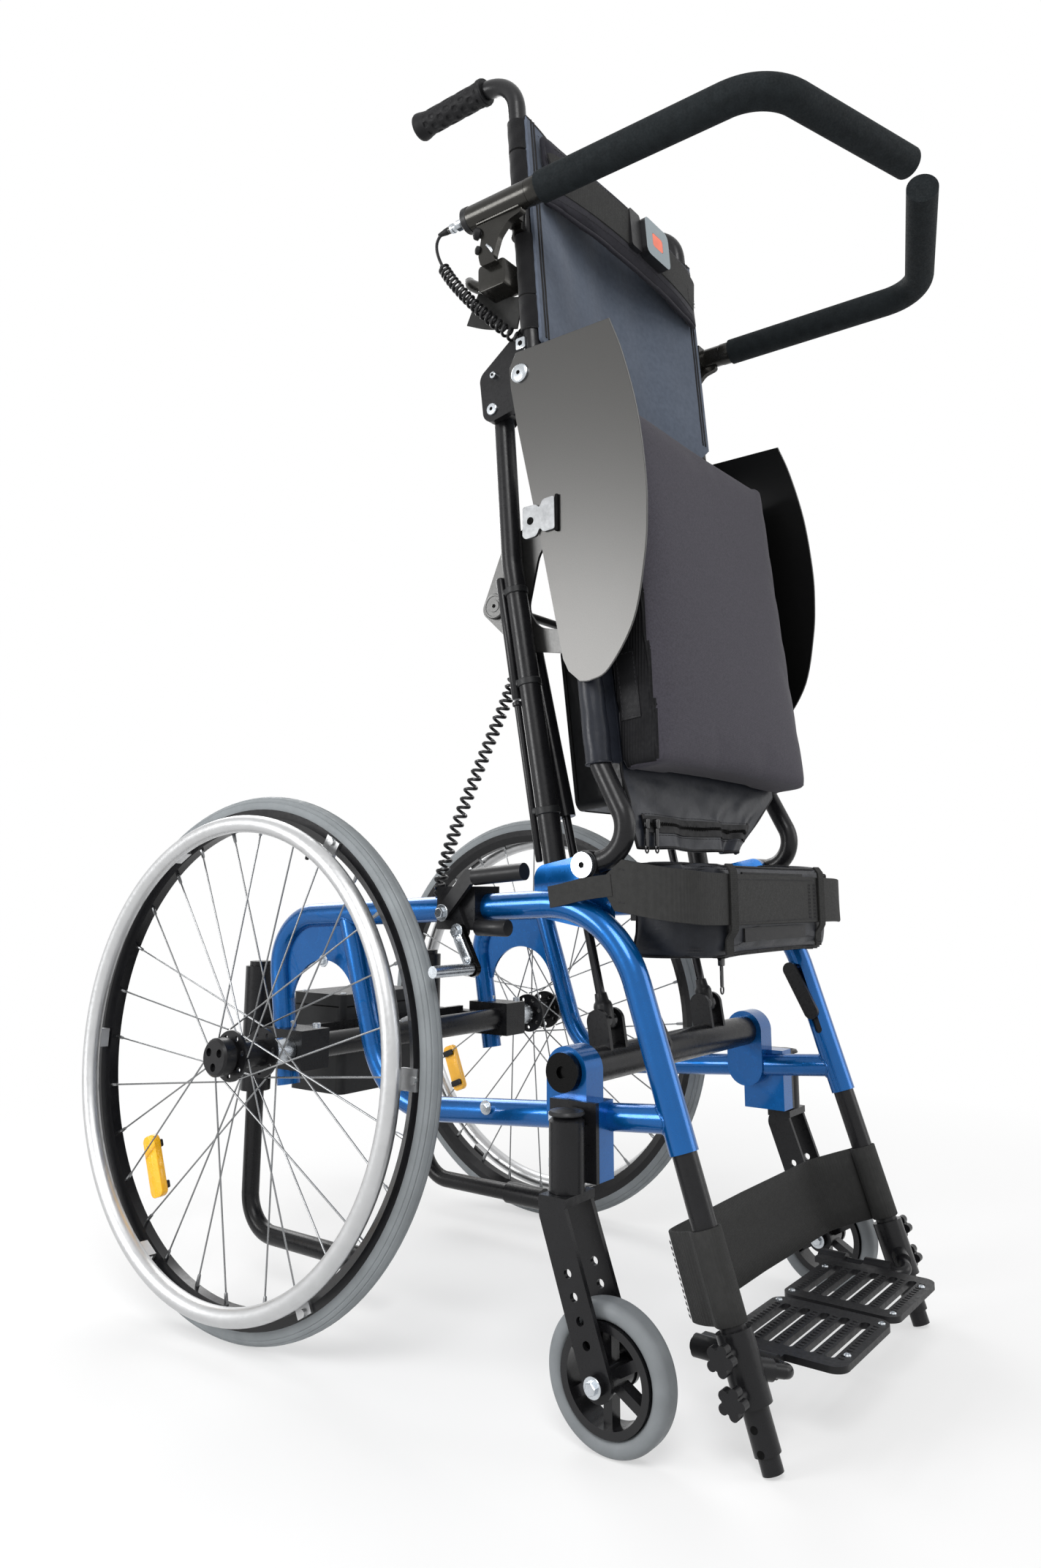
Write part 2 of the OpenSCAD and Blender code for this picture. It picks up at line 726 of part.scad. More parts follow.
// Brakes
lever_pivot = [-brake_y + lever_dy, top_z(-brake_y) - lever_dz];
shoe_pivot = [-brake_y - shoe_dy, top_z(-brake_y) - shoe_dz];
module brake_clamp() color("#17181a") set_place() difference() {
  union() {
    translate([frame_x - tube_d / 2 - brake_wall, -brake_y - brake_l / 2, top_z(-brake_y) - brake_h / 2])
      cube([brake_w, brake_l, brake_h]);
    side_plate(brake_x, brake_t)
      round_poly([lever_pivot, shoe_pivot, [-brake_y, top_z(-brake_y)]], lever_w / 2);
    along_x(lever_pivot, brake_x, brake_x + brake_t / 2 + gap + lever_t, bolt_d);
    along_x(shoe_pivot, brake_x - brake_t / 2, brake_x + brake_t / 2 + gap + lever_t, bolt_d);
  }
  rod([frame_x, 0, top_z(0)], [frame_x, -front_top_y, front_top_z], tube_d + 2 * run);
  translate([frame_x - brake_w, -brake_y - brake_l, top_z(-brake_y) - brake_h / 2 - over])
    cube([brake_w - tube_d / 2, 2 * brake_l, brake_h / 2 - slit_w]);
}
module brake_clamps() { brake_clamp(); right() brake_clamp(); }
module brake_lever() color("#1b1c1e") set_place() difference() {
  x = brake_x + brake_t / 2 + gap + lever_t / 2;
  elbow = lever_pivot + [-elbow_dy, elbow_dz];
  union() {
    side_plate(x, lever_t) {
      strip(lever_pivot, elbow, lever_w);
      strip(elbow, elbow + [-lever_w, 0], lever_w);
    }
    rod([x, elbow[0] - lever_w / 2, elbow[1]],
      [x, elbow[0] - lever_w / 2 - grip_l, elbow[1] + lever_dz], grip_d);
  }
  along_x(lever_pivot, x - lever_t, x + lever_t, bolt_d + 2 * run);
}
module brake_arm() color("#9da2a6") set_place() difference() {
  x = brake_x + brake_t / 2 + gap + lever_t / 2;
  union() {
    side_plate(x, lever_t) strip(shoe_pivot, [-shoe_y, shoe_z], lever_w);
    along_x([-shoe_y, shoe_z], x, x + shoe_l, shoe_d);
  }
  along_x(shoe_pivot, x - lever_t, x + lever_t, bolt_d + 2 * run);
}

// Casters
caster_z = caster_r + caster_lift;
module caster_housing() color("#17181a") set_place() difference() {
  x0 = frame_x + tube_d / 2 + block_t + gap;
  union() {
    translate([x0, -block_y0, block_z0]) cube([fork_bar, block_y0 - block_y1, block_z1 - block_z0]);
    translate([caster_x, -caster_y, housing_z0]) cylinder(h = housing_z1 - housing_z0, d = housing_d);
    translate([caster_x, -caster_y, housing_z1])
      cylinder(h = dome_h, d1 = housing_d, d2 = housing_d - 2 * dome_h);
    translate([x0, -caster_y - housing_d / 3, housing_z0 + dome_h])
      cube([caster_x - x0, 2 * housing_d / 3, housing_z1 - housing_z0 - 2 * dome_h]);
  }
  translate([caster_x, -caster_y, housing_z0 - over]) cylinder(h = stem_l + gap + over, d = stem_d + 2 * run);
  for (z = bolt_zs) along_x([-bolt_y, z], x0 - over, x0 + fork_bar + over, bolt_d + 2 * run);
}
module caster_housings() { caster_housing(); right() caster_housing(); }

hub_q = [-caster_y - trail, caster_z];
top_q = [-caster_y, housing_z0 - gap - fork_w / 2];
module caster_fork() color("#1b1c1e") set_place() difference() {
  union() {
    translate([caster_x, -caster_y, housing_z0 - gap - crown_t])
      cylinder(h = crown_t + stem_l - gap, d = stem_d);
    translate([caster_x - fork_gap - fork_bar, -caster_y - fork_w / 2, housing_z0 - gap - crown_t])
      cube([2 * (fork_gap + fork_bar), fork_w, crown_t]);
    for (s = [-1, 1]) side_plate(caster_x + s * (fork_gap + fork_bar / 2), fork_bar)
      strip(top_q, hub_q, fork_w);
    along_x(hub_q, caster_x - fork_gap - fork_bar - nut_t,
      caster_x + fork_gap + fork_bar + nut_t, caster_axle_d);
    for (s = [-1, 1]) translate([caster_x + s * (fork_gap + fork_bar), hub_q[0], hub_q[1]])
      rotate([0, s * 90, 0]) cylinder(h = nut_t, d = nut_d, $fn = 6);
  }
  for (t = fork_hole_shares) let (q = lerp(top_q, hub_q, t))
    along_x(q, caster_x - 2 * fork_gap, caster_x + 2 * fork_gap, fork_hole_d);
}
module caster_place() set_place() translate([caster_x, hub_q[0], hub_q[1]]) rotate([0, 90, 0]) children();
module caster_tyre() color("#85898c") caster_place() rotate_extrude($fn = 72)
  translate([(caster_rim_r + run + caster_r) / 2, 0])
    round_rect(caster_r - caster_rim_r - run, caster_w, caster_round);
module caster_rim() color("#17181a") caster_place() difference() {
  union() {
    difference() {
      translate([0, 0, -caster_w / 2]) cylinder(h = caster_w, r = caster_rim_r, $fn = 72);
      translate([0, 0, -caster_w]) cylinder(h = 2 * caster_w, r = caster_rim_r - caster_ring, $fn = 72);
    }
    translate([0, 0, -fork_gap + gap]) cylinder(h = 2 * (fork_gap - gap), d = caster_hub_d);
    for (i = [0 : caster_spokes - 1]) rotate(360 / caster_spokes * i)
      translate([0, -caster_spoke_w / 2, -caster_w / 4])
        cube([caster_rim_r - caster_ring / 2, caster_spoke_w, caster_w / 2]);
  }
  translate([0, 0, -fork_gap]) cylinder(h = 2 * fork_gap, d = caster_axle_d + 2 * run);
}

// Legs and footplates
module leg_tube() color("#1b1c1e") {
  leg_place() translate([0, 0, tip_ferrule - leg_low])
    cylinder(h = leg_low - tip_ferrule + leg_in, d = leg_d);
  leg_place() translate([0, 0, -leg_low]) cylinder(h = tip_ferrule + over, d = tip_round);
  leg_place() translate([-tube_d / 2 - fork_bar, 0, slot_mid]) rotate([0, 90, 0])
    cylinder(h = tube_d / 2, d = slot_w - 2 * run - gap);
  leg_place() translate([-tube_d / 2 - fork_bar - gap, 0, slot_mid]) rotate([90, 0, 90])
    linear_extrude(fork_bar) strip([0, 0], [slot_w, slot_up], 2 * slot_w);
}
module leg_tubes() { leg_tube(); right() leg_tube(); }
module leg_knob() leg_place() for (z = knob_zs) translate([collar_d / 2 - over, 0, z]) rotate([0, 90, 0]) {
  cylinder(h = knob_stem, d = knob_d / 2);
  translate([0, 0, knob_stem]) linear_extrude(knob_t) {
    circle(d = knob_d - knob_t);
    for (i = [0 : knob_lobes - 1]) rotate(360 / knob_lobes * i)
      translate([knob_d / 2 - knob_t / 2, 0]) circle(d = knob_t);
  }
}
module foot_hanger() color("#1b1c1e") difference() {
  union() {
    leg_place() translate([0, 0, collar_z0]) cylinder(h = collar_z1 - collar_z0, d = collar_d);
    set_place() {
      z = lerp(front_foot_z + collar_z0 * cos(lean), front_foot_z + collar_z1 * cos(lean), nose_share);
      bent([[frame_x, front_y(z), z], [plate_x, -rod_y0, plate_z], [plate_x, -rod_y1, plate_z]],
        [hinge_bend_r], rod_d);
      rod([frame_x, front_y(z), z], lerp([frame_x, front_y(z), z], [plate_x, -rod_y0, plate_z], nose_share),
        elbow_d);
    }
  }
  leg_place() translate([0, 0, collar_z0 - over])
    cylinder(h = collar_z1 - collar_z0 + 2 * over, d = leg_d + 2 * run);
}
module foot_hangers() color("#1b1c1e") for (k = [0, 1]) mirror([k, 0, 0]) { foot_hanger(); leg_knob(); }
module footplate() color("#151618") set_place() difference() {
  union() {
    translate([plate_in + plate_w / 2, -plate_y + plate_l / 2, plate_z]) difference() {
      round_box(plate_w, plate_l, plate_th, plate_round);
      for (i = [1 : slot_n]) translate([0, plate_l * (i / (slot_n + 1) - nose_share), -over])
        linear_extrude(plate_th + 2 * over) strip([-plate_w / 3, 0], [plate_w / 3, 0], plate_slot_w);
    }
    for (y = sleeve_ys) rod([plate_x, -y, plate_z], [plate_x, -y + sleeve_l, plate_z], sleeve_d);
    translate([plate_x - sleeve_d, -sleeve_ys[0], plate_z]) cube([sleeve_d, sleeve_l, plate_th]);
    translate([plate_x - sleeve_d - plate_round, -sleeve_ys[0], plate_z])
      cube([plate_round, sleeve_ys[0] - plate_y + plate_l, plate_th]);
    translate([plate_x - sleeve_d, -sleeve_ys[1], plate_z]) cube([sleeve_d, sleeve_l, plate_th]);
  }
  rod([plate_x, -rod_y0, plate_z], [plate_x, 0, plate_z], rod_d + 2 * run);
}
module calf_strap() color("#26272a") leg_place() translate([-frame_x, 0, strap_z])
  linear_extrude(strap_band_h) {
  for (s = [-1, 1]) {
    difference() {
      translate([s * frame_x, 0]) circle(d = leg_d + 2 * gap + 2 * strap_t);
      translate([s * frame_x, 0]) circle(d = leg_d + 2 * gap);
    }
    strip([s * (frame_x - leg_d / 2 - gap - strap_t / 2), 0],
      [s * (frame_x - strap_in), strap_back], strap_t);
  }
  strip([-frame_x + strap_in, strap_back], [frame_x - strap_in, strap_back], strap_t);
}

// Seat
module seat_place() set_place() translate([0, S0[0], S0[1]]) rotate([seat_tilt, 0, 0]) children();
module seat_frame() color("#17181a") set_place() difference() {
  union() {
    for (s = [-1, 1]) {
      bent(at_x(s * seat_x, [A, A + [-loop_dy, loop_dz], S0, S1, C]), [loop_r, seat_r0, seat_r1], seat_d);
      for (q = [A, C])
        along_x(q, s * (knee_x + knee_t / 2 + gap), s * (seat_x + seat_d / 2 + eye_lip), 2 * eye_r);
    }
    for (t = cross_shares) along_x(lerp(S0, S1, t), -seat_x, seat_x, seat_d);
  }
  for (s = [-1, 1], q = [A, C])
    along_x(q, s * (frame_x - tube_d), s * (seat_x + seat_d + over), pin_d + 2 * run);
}
module lift_levers() color("#9a9ea2") set_place() difference() {
  union() {
    for (s = [-1, 1]) side_plate(s * lever_x, lever_pt)
      round_poly(concat([for (t = cross_shares) lerp(S0, S1, t)], lever_back), lever_round);
    along_x(P, -lever_x, lever_x, gas_rod_d);
  }
  for (t = cross_shares) along_x(lerp(S0, S1, t), -lever_x - lever_pt, lever_x + lever_pt, seat_d + 2 * run);
  for (q = lever_holes) along_x(q, -lever_x - lever_pt, lever_x + lever_pt, lever_hole);
}
module power_box() color("#232426") seat_place()
  translate([pbox_x, -pbox_drop + pbox_l / 2, -seat_d / 2 - gap - pbox_t])
    round_box(pbox_w, pbox_l, pbox_t, pbox_r);
seat_face = lever_round + gap;
cushion_z = seat_face + sheet_t + gap;
module seat_cushion() color("#403e45") seat_place()
  translate([0, seat_l - cushion_l / 2, cushion_z]) pad(cushion_w, cushion_l, cushion_t, cushion_grid);
// Seat sling that runs on below the cushion as an apron
module seat_apron() color("#23252b") seat_place() {
  hem = max(0, cushion_l - seat_l);
  ups = concat([for (i = [0 : apron_rows - 1]) lerp(-apron_l, -hem, i / apron_rows)],
    [for (i = [0 : apron_back_rows]) lerp(-hem, seat_l, i / apron_back_rows)]);
  free = function (up) max(0, (-up - hem) / (apron_l - hem));
  half = function (u, up) lerp(apron_w, u < 0 ? apron_near_w : apron_far_w, free(up)) / 2;
  fold = function (u, up) fold_h * free(up) * (1 + cos(360 * fold_n * u)) / 2;
  grid = function (t) [for (up = ups) [for (i = [0 : apron_cells]) let (u = 2 * i / apron_cells - 1)
    [half(u, up) * u, up, seat_face + t + fold(u, up)]]];
  slab(grid(sheet_t), grid(0));
}
guard_x = seat_x + seat_d / 2 + gap + guard_t / 2 + fork_bar;
// Outline of the right guard: straight rear and upper edges, then the swept front edge
guard_rear = [[-424, 697], [-386, 856], [-356, 1004], [-338, 1050], [-331, 1074], [-340, 1091]];
guard_front = [[-420, 1094], [-462, 1091], [-478, 1077], [-497, 1020], [-507, 950], [-509, 885], [-504, 825],
  [-491, 770], [-472, 722], [-455, 699], [-436, 694], [-424, 697]];
guard_steps = 3;
function knot(a, b, c, d, t) =
  (2 * b + (c - a) * t + (2 * a - 5 * b + 4 * c - d) * t * t + (3 * (b - c) + d - a) * t * t * t) / 2;
guard_curve = [for (i = [1 : len(guard_front) - 3], k = [0 : guard_steps - 1])
  knot(guard_front[i - 1], guard_front[i], guard_front[i + 1], guard_front[i + 2], k / guard_steps)];
module side_guard() color("#2b2c2e") set_place() {
  side_plate(guard_x, guard_t) polygon(concat(guard_rear, guard_curve));
  for (t = [nose_share, 1 - nose_share / 4]) let (q = lerp(S0, S1, t))
    along_x(q, seat_x + seat_d / 2 + gap, guard_x, seat_d);
  along_x(C, guard_x, guard_x + fork_bar, cap_d - hex_d);
}
module side_guards() { side_guard(); right() side_guard(); }

// Link bars
link_top_share = 0.66;
module link_bar() color("#17181a") set_place() difference() {
  knee = lerp(B, D, link_top_share) + [link_d / 2, 0];
  union() {
    bent(at_x(link_x, [B, knee, D]), [front_bend_r], link_d);
    for (q = [B, D]) along_x(q, link_x - link_d / 2 - eye_lip, link_x + link_d / 2 + eye_lip, 2 * eye_r);
  }
  for (q = [B, D]) along_x(q, link_x - link_d, link_x + link_d, pin_d + 2 * run);
}
module link_bars() { link_bar(); right() link_bar(); }

// Gas springs: X along the spring from the lower to the upper pivot
module gas_place(s) set_place() translate([s * gas_x + gas_shift, G[0], G[1]])
  rotate([gas_tilt, 0, 0]) children();
module gas_rods() color("#c3c6c8") for (s = [-1, 1]) gas_place(s) difference() {
  union() {
    rod([0, 0, 0], [0, gas_len - gas_head - gas_cyl_l + gas_stub, 0], gas_rod_d);
    rod([-gas_eye_w / 2, 0, 0], [gas_eye_w / 2, 0, 0], gas_eye_d);
  }
  rod([-gas_eye_w, 0, 0], [gas_eye_w, 0, 0], gas_rod_d + 2 * run);
}
module gas_cylinders() color("#141416") for (s = [-1, 1]) gas_place(s) difference() {
  union() {
    rod([0, gas_len - gas_head - gas_cyl_l, 0], [0, gas_len - gas_head, 0], gas_d);
    rod([0, gas_len - gas_head - over, 0], [0, gas_len - gas_rod_d / 2 - gap, 0], gas_stub);
  }
  rod([0, gas_len - gas_head - gas_cyl_l - over, 0], [0, gas_len - 2 * gas_head, 0], gas_rod_d + 2 * run);
}

// Back
plate_top = cane_z0 + clamp_h;
module back_frame() color("#17181a") set_place() {
  for (s = [-1, 1]) {
    bent(at_x(s * cane_x, [K0, K1, [-handle_y, handle_z]]), [handle_r], cane_d);
    side_plate(s * knee_x, plate_t)
      round_poly([C, D, [D[0] + lobe_dy, D[1] + lobe_dz],
        [cane_at(plate_top) + eye_r - cane_d / 2 + sheet_t, plate_top]], eye_r);
    translate([s * (knee_x + cane_x) / 2 - (cane_x - knee_x) / 2,
      cane_at(plate_top) - cane_d / 2 + sheet_t, cane_z0]) cube([cane_x - knee_x, cane_d - sheet_t, clamp_h]);
    along_x(C, s * knee_x, s * (seat_x + seat_d / 2), pin_d);
    along_x(D, s * (link_x - link_d / 2), s * knee_x, pin_d);
  }
}
module push_grips() color("#101113") set_place() for (s = [-1, 1]) difference() {
  rod([s * cane_x, -handle_y - pgrip_l, handle_z], [s * cane_x, -handle_y + over, handle_z], pgrip_d);
  rod([s * cane_x, -handle_y - pgrip_l - over, handle_z],
    [s * cane_x, -handle_y, handle_z], cane_d + 2 * run);
  for (i = [1 : pgrip_rows], a = [0 : 45 : 315])
    translate([s * cane_x, -handle_y - pgrip_l * i / (pgrip_rows + 1), handle_z]) rotate([0, a, 0])
      translate([0, 0, pgrip_d / 2]) cylinder(h = pgrip_hole / 2, d = pgrip_hole, center = true);
}
module arm_housing() color("#1b1c1e") set_place() difference() {
  yc = cane_at(arm_z);
  union() {
    rod([arm_x, -housing_arm_y0, arm_z], [arm_x, -housing_arm_y1, arm_z], housing_arm_d);
    rod([cane_x, cane_at(arm_z - clamp_h / 2), arm_z - clamp_h / 2],
      [cane_x, cane_at(arm_z + clamp_h / 2), arm_z + clamp_h / 2], clamp_d);
    translate([cane_x, yc - cane_d / 2, arm_z - clamp_h / 3]) cube([arm_x - cane_x, cane_d, 2 * clamp_h / 3]);
  }
  rod([cane_x, K0[0], K0[1]], [cane_x, K1[0], K1[1]], cane_d + 2 * run);
  front = cane_at(arm_z + clamp_h / 2) - cane_d / 2 + sheet_t / 2 + gap;
  translate([cane_x - clamp_d, front - clamp_d, arm_z - clamp_h])
    cube([clamp_d + clamp_d / 2, clamp_d, 2 * clamp_h]);
  rod([arm_x, -housing_arm_y0 - collar_l, arm_z],
    [arm_x, -housing_arm_y1 - over, arm_z], arm_core_d + 2 * run);
}
module arm_housings() {
  arm_housing();
  right() arm_housing();
  set_place() rod([-arm_x, -housing_arm_y0 - over, arm_z], [-arm_x, -housing_arm_y0 + plug_l, arm_z], plug_d);
}
module arm() color("#1a1d1f") set_place() {
  rod([arm_x, -housing_arm_y0 - collar_l - gap, arm_z],
    [arm_x, -housing_arm_y1 - collar_l, arm_z], arm_core_d);
  rod([arm_x, -housing_arm_y1 - gap, arm_z], [arm_x, -housing_arm_y1 - collar_l, arm_z], housing_arm_d);
  bent([[arm_x, -housing_arm_y1 - collar_l, arm_z], [arm_x, -arm_corner_y, arm_z],
    [arm_tip_x, -arm_tip_y, arm_z + arm_tip_dz]], [arm_bend_r], foam_d);
}
// Back upholstery hung in front of the canes, sagging between them
sling_sag = 26;
sling_grid = 10;
flap_l = 50;
flap_half = 184;
module back_sling() color("#4a5160") set_place() {
  g = spread(sling_grid);
  low = C[1] + sling_z0;
  zs = concat([low - flap_l, low - flap_l / 3], [for (v = g) low + sling_l * (v + 1) / 2]);
  half = function (z) z < low - gap ? flap_half : cane_x + cane_d / 2;
  y = function (u, z) cane_at(z) - cane_d / 2 - 2 * gap - sheet_t + sling_sag * (1 - u * u) * (1 - u * u);
  grid = function (t) [for (z = zs) [for (u = g) [half(z) * u, y(u, z) + t, z]]];
  slab(grid(-sheet_t), grid(sheet_t));
}
belt_z = C[1] + belt_dz;
cane_tilt = atan2(K1[0] - K0[0], K1[1] - K0[1]);
function belt_y(u, z) = cane_at(z) - cane_d / 2 - 2 * gap - 2 * sheet_t + belt_sink - belt_bow * (1 - u * u);
module chest_belt() color("#2a2c31") set_place() {
  g = spread(belt_grid);
  grid = function (t) [for (v = g) [for (u = g)
    let (f = (1 - pow(abs(v), 4)) * (1 - pow(abs(u), 6)), z = belt_z + belt_h / 2 * v)
    [belt_w / 2 * u, belt_y(u, z) - t * (nose_share + nose_share * f), z]]];
  slab(grid(belt_t), grid(0));
}
// Buckle frame: Z runs forward out of the belt
module buckle_place() set_place() translate([0, belt_y(0, belt_z) - belt_t - gap, belt_z])
  rotate([90 - cane_tilt, 0, 0]) children();
module belt_buckle() color("#82898d") buckle_place() difference() {
  union() {
    translate([buckle_w / 2, 0, 0]) round_box(buckle_w, buckle_h, buckle_t, box_r);
    translate([-tongue_w / 2 - gap, 0, 0]) round_box(tongue_w, buckle_h, buckle_t / 2, lever_pt);
    translate([-gap, -buckle_h / 4, strap_t]) cube([tongue_w, buckle_h / 2, strap_t]);
  }
  translate([buckle_w / 2, 0, buckle_t - button_t - press - gap]) linear_extrude(buckle_t)
    round_rect(button_w + 2 * gap, button_h + 2 * gap, lever_pt);
}
module belt_button() color("#e0663f") buckle_place()
  translate([buckle_w / 2, 0, buckle_t - button_t]) round_box(button_w, button_h, button_t, lever_pt);

// Knee pad
module knee_pad() color("#23252b") set_place() translate([pad_x, -pad_y, pad_z + pad_h / 2])
  rotate([90, 0, 0]) pad(pad_w, pad_h, pad_t, pad_grid);
module knee_strap() color("#33332f") set_place() {
  y = -pad_y - pad_t - gap - strap_t / 2;
  zc = pad_z + pad_h / 2;
  translate([0, 0, zc - band_h / 2]) linear_extrude(band_h)
    strip([pad_x - pad_w / 2, y], [hook_x, y], strap_t);
  translate([0, 0, zc - loop_h / 2]) linear_extrude(loop_h) difference() {
    union() {
      translate([hook_x, -hook_y]) circle(d = hook_d + 2 * loop_t);
      strip([hook_x, y], [hook_x, -hook_y], strap_t);
    }
    translate([hook_x, -hook_y]) circle(d = hook_d + 2 * run);
  }
}
module knee_hooks() color("#17181a") set_place() for (s = [-1, 1]) {
  corner = [s * hook_x, -hook_y, A[1] - hook_dz];
  rod([s * knee_x, A[0] - knee_r - gap, A[1]], corner, hook_d);
  translate(corner) sphere(d = hook_d + 2 * draw);
  rod(corner, [s * hook_x, -hook_y, hook_z], hook_d);
}

// Curly cords: a plain lead over the first share of the route, then n curls of radius r, wire radius w
function bez(p, t) = let (s = 1 - t)
  s * s * s * p[0] + 3 * s * s * t * p[1] + 3 * s * t * t * p[2] + t * t * t * p[3];
function bez_d(p, t) = unit((1 - t) * (1 - t) * (p[1] - p[0]) + 2 * (1 - t) * t * (p[2] - p[1])
  + t * t * (p[3] - p[2]));
rings = 8;
sides = 6;
lead_rings = 10;
end_rings = 2;
function route_at(i, n, lead_share) = i <= lead_rings ? lead_share * i / lead_rings
  : lead_share + (1 - lead_share) * (i - lead_rings) / (n * rings);
function coil(p, lead_share, n, r, w) = let (last = lead_rings + n * rings)
  [for (i = [-end_rings : last + end_rings])
    let (k = max(0, min(last, i)), t = route_at(k, n, lead_share), d = bez_d(p, t),
      x = unit(cross(d, [1, 0, 0])), y = cross(d, x), c = max(0, k - lead_rings),
      e = i - k, grow = min(1, c / rings, (last - k) / rings), a = 360 * c / rings)
    bez(p, t) + e * w * d + r * grow * (cos(a) * x + sin(a) * y)];
module cord(p, lead_share, n, r, w, name) {
  c = coil(p, lead_share, n, r, w);
  m = len(c);
  apart = [for (i = [0 : m - 1], j = [i + rings / 2 + 1 : m - 1]) norm(c[i] - c[j])];
  echo(str(name, " least gap"), min(apart) - 2 * w);
  pts = [for (i = [0 : m - 1])
    let (d = unit(c[min(i + 1, m - 1)] - c[max(i - 1, 0)]),
      b = bez_d(p, route_at(max(0, min(lead_rings + n * rings, i - end_rings)), n, lead_share)),
      x = unit(cross(d, cross(b, [1, 0, 0]) + b)), y = cross(d, x))
    each [for (a = [0 : sides - 1]) c[i] + w * (cos(360 * a / sides) * x + sin(360 * a / sides) * y)]];
  polyhedron(pts, concat([for (a = [1 : sides - 2]) [0, a, a + 1]],
    [for (a = [1 : sides - 2]) [(m - 1) * sides, (m - 1) * sides + a + 1, (m - 1) * sides + a]],
    [for (i = [0 : m - 2], a = [0 : sides - 1]) let (b = (a + 1) % sides) each [
      [i * sides + a, (i + 1) * sides + a, (i + 1) * sides + b],
      [i * sides + a, (i + 1) * sides + b, i * sides + b]]]));
}

// Cord pieces
wire_r = 1.9;
coil_r = 6;
thin_wire_r = 1.5;
thin_coil_r = 4.2;
arm_route = [[-239, -250, 1270], [-239, -205, 1272], [-238, -250, 1190], [-204, -337.2, 1112]];
lift_route = [[-147, -295, 753.5], [-147, -277, 693.5], [-186, -222, 560], [-196, -215, 480.3]];
box_route = [[-80, -398, 573.5], [-80, -385, 500], [-120, -312, 490], [-179.2, -302, 466]];
module arm_cord() color("#141416") set_place() cord(arm_route, 0.45, 20, coil_r, wire_r, "arm cord");
module lift_cord() color("#141416") set_place() cord(lift_route, 0.06, 27, coil_r, wire_r, "lift cord");
module box_cord() color("#141416") set_place() cord(box_route, 0.1, 10, thin_coil_r, thin_wire_r, "box cord");

right() tyre();  // tyre_r
tyre();  // tyre_l
right() rim();  // rim_r
rim();  // rim_l
right() wheel_spokes();  // wheel_spokes_r
wheel_spokes();  // wheel_spokes_l
right() hub();  // hub_r
hub();  // hub_l
right() handrim();  // handrim_r
handrim();  // handrim_l
right() side_frame();  // side_frame_r
side_frame();  // side_frame_l
right() antitip();  // antitip_r
antitip();  // antitip_l
right() caster_fork();  // caster_fork_r
caster_fork();  // caster_fork_l
right() caster_tyre();  // caster_tyre_r
caster_tyre();  // caster_tyre_l
right() caster_rim();  // caster_rim_r
caster_rim();  // caster_rim_l
right() brake_lever();  // brake_lever_r
brake_lever();  // brake_lever_l
right() brake_arm();  // brake_arm_r
brake_arm();  // brake_arm_l
right() footplate();  // footplate_r
footplate();  // footplate_l
right() arm();  // arm_r
arm();  // arm_l
lower_cross_tube();
frame_bolts();
axle_tube();
axle_pins();
control_box();
brake_clamps();
caster_housings();
leg_tubes();
foot_hangers();
calf_strap();
seat_frame();
lift_levers();
power_box();
seat_cushion();
seat_apron();
side_guards();
link_bars();
gas_rods();
gas_cylinders();
back_frame();
push_grips();
arm_housings();
back_sling();
chest_belt();
belt_buckle();
belt_button();
knee_pad();
knee_strap();
knee_hooks();
arm_cord();
lift_cord();
box_cord();
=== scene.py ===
"""Standing wheelchair: looks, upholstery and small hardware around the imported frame."""
from math import copysign, cos, degrees, exp, hypot, pi, radians, sin, sqrt

import bpy
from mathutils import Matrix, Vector
from mathutils.bvhtree import BVHTree


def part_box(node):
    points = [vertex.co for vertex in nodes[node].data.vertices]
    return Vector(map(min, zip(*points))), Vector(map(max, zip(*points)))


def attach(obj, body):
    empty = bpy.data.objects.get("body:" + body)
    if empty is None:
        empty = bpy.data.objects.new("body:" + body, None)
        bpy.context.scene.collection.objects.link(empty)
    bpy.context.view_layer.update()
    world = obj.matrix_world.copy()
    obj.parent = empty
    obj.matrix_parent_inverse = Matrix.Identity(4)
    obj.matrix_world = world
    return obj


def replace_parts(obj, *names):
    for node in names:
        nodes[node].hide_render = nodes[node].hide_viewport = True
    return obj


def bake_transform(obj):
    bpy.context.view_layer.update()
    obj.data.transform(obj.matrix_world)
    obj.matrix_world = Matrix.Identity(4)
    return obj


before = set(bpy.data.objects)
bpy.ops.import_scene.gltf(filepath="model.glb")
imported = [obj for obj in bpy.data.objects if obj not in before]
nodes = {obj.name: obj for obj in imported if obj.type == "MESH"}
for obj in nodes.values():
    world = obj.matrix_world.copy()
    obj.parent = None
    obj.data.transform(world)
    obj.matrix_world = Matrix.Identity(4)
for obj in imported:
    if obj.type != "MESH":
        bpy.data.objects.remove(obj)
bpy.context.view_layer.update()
scene = bpy.context.scene

# Places of the frame in mm, with y counted from the rear axle
AXLE_Y = 229.5
MM = 0.001
FRAME_X, TUBE_R = 197, 14
WHEEL_X, WHEEL_Z, CAMBER = 281, 296.83, 2
KNEE = Vector((0, -425, 508))
LINK_FOOT = Vector((0, -358, 495))
HIP = Vector((0, -347, 1063))
LINK_HEAD = Vector((0, -280, 1050))
GAS_HEAD = Vector((0, -290, 805))
SEAT_FOOT = Vector((0, -437, 612))
SEAT_UP = Vector((0, 0.1131, 0.9936))
SEAT_OUT = Vector((0, -0.9936, 0.1131))
SEAT_L, SEAT_X, SEAT_R = 406.6, 200, 11
LEG_FOOT = Vector((0, -524.2, 245))
LEG_LEAN = radians(17.8)
CANE_X, CANE_R = 200, 11
CANE_FOOT, CANE_HEAD = Vector((0, -352, 1094)), Vector((0, -322, 1476))
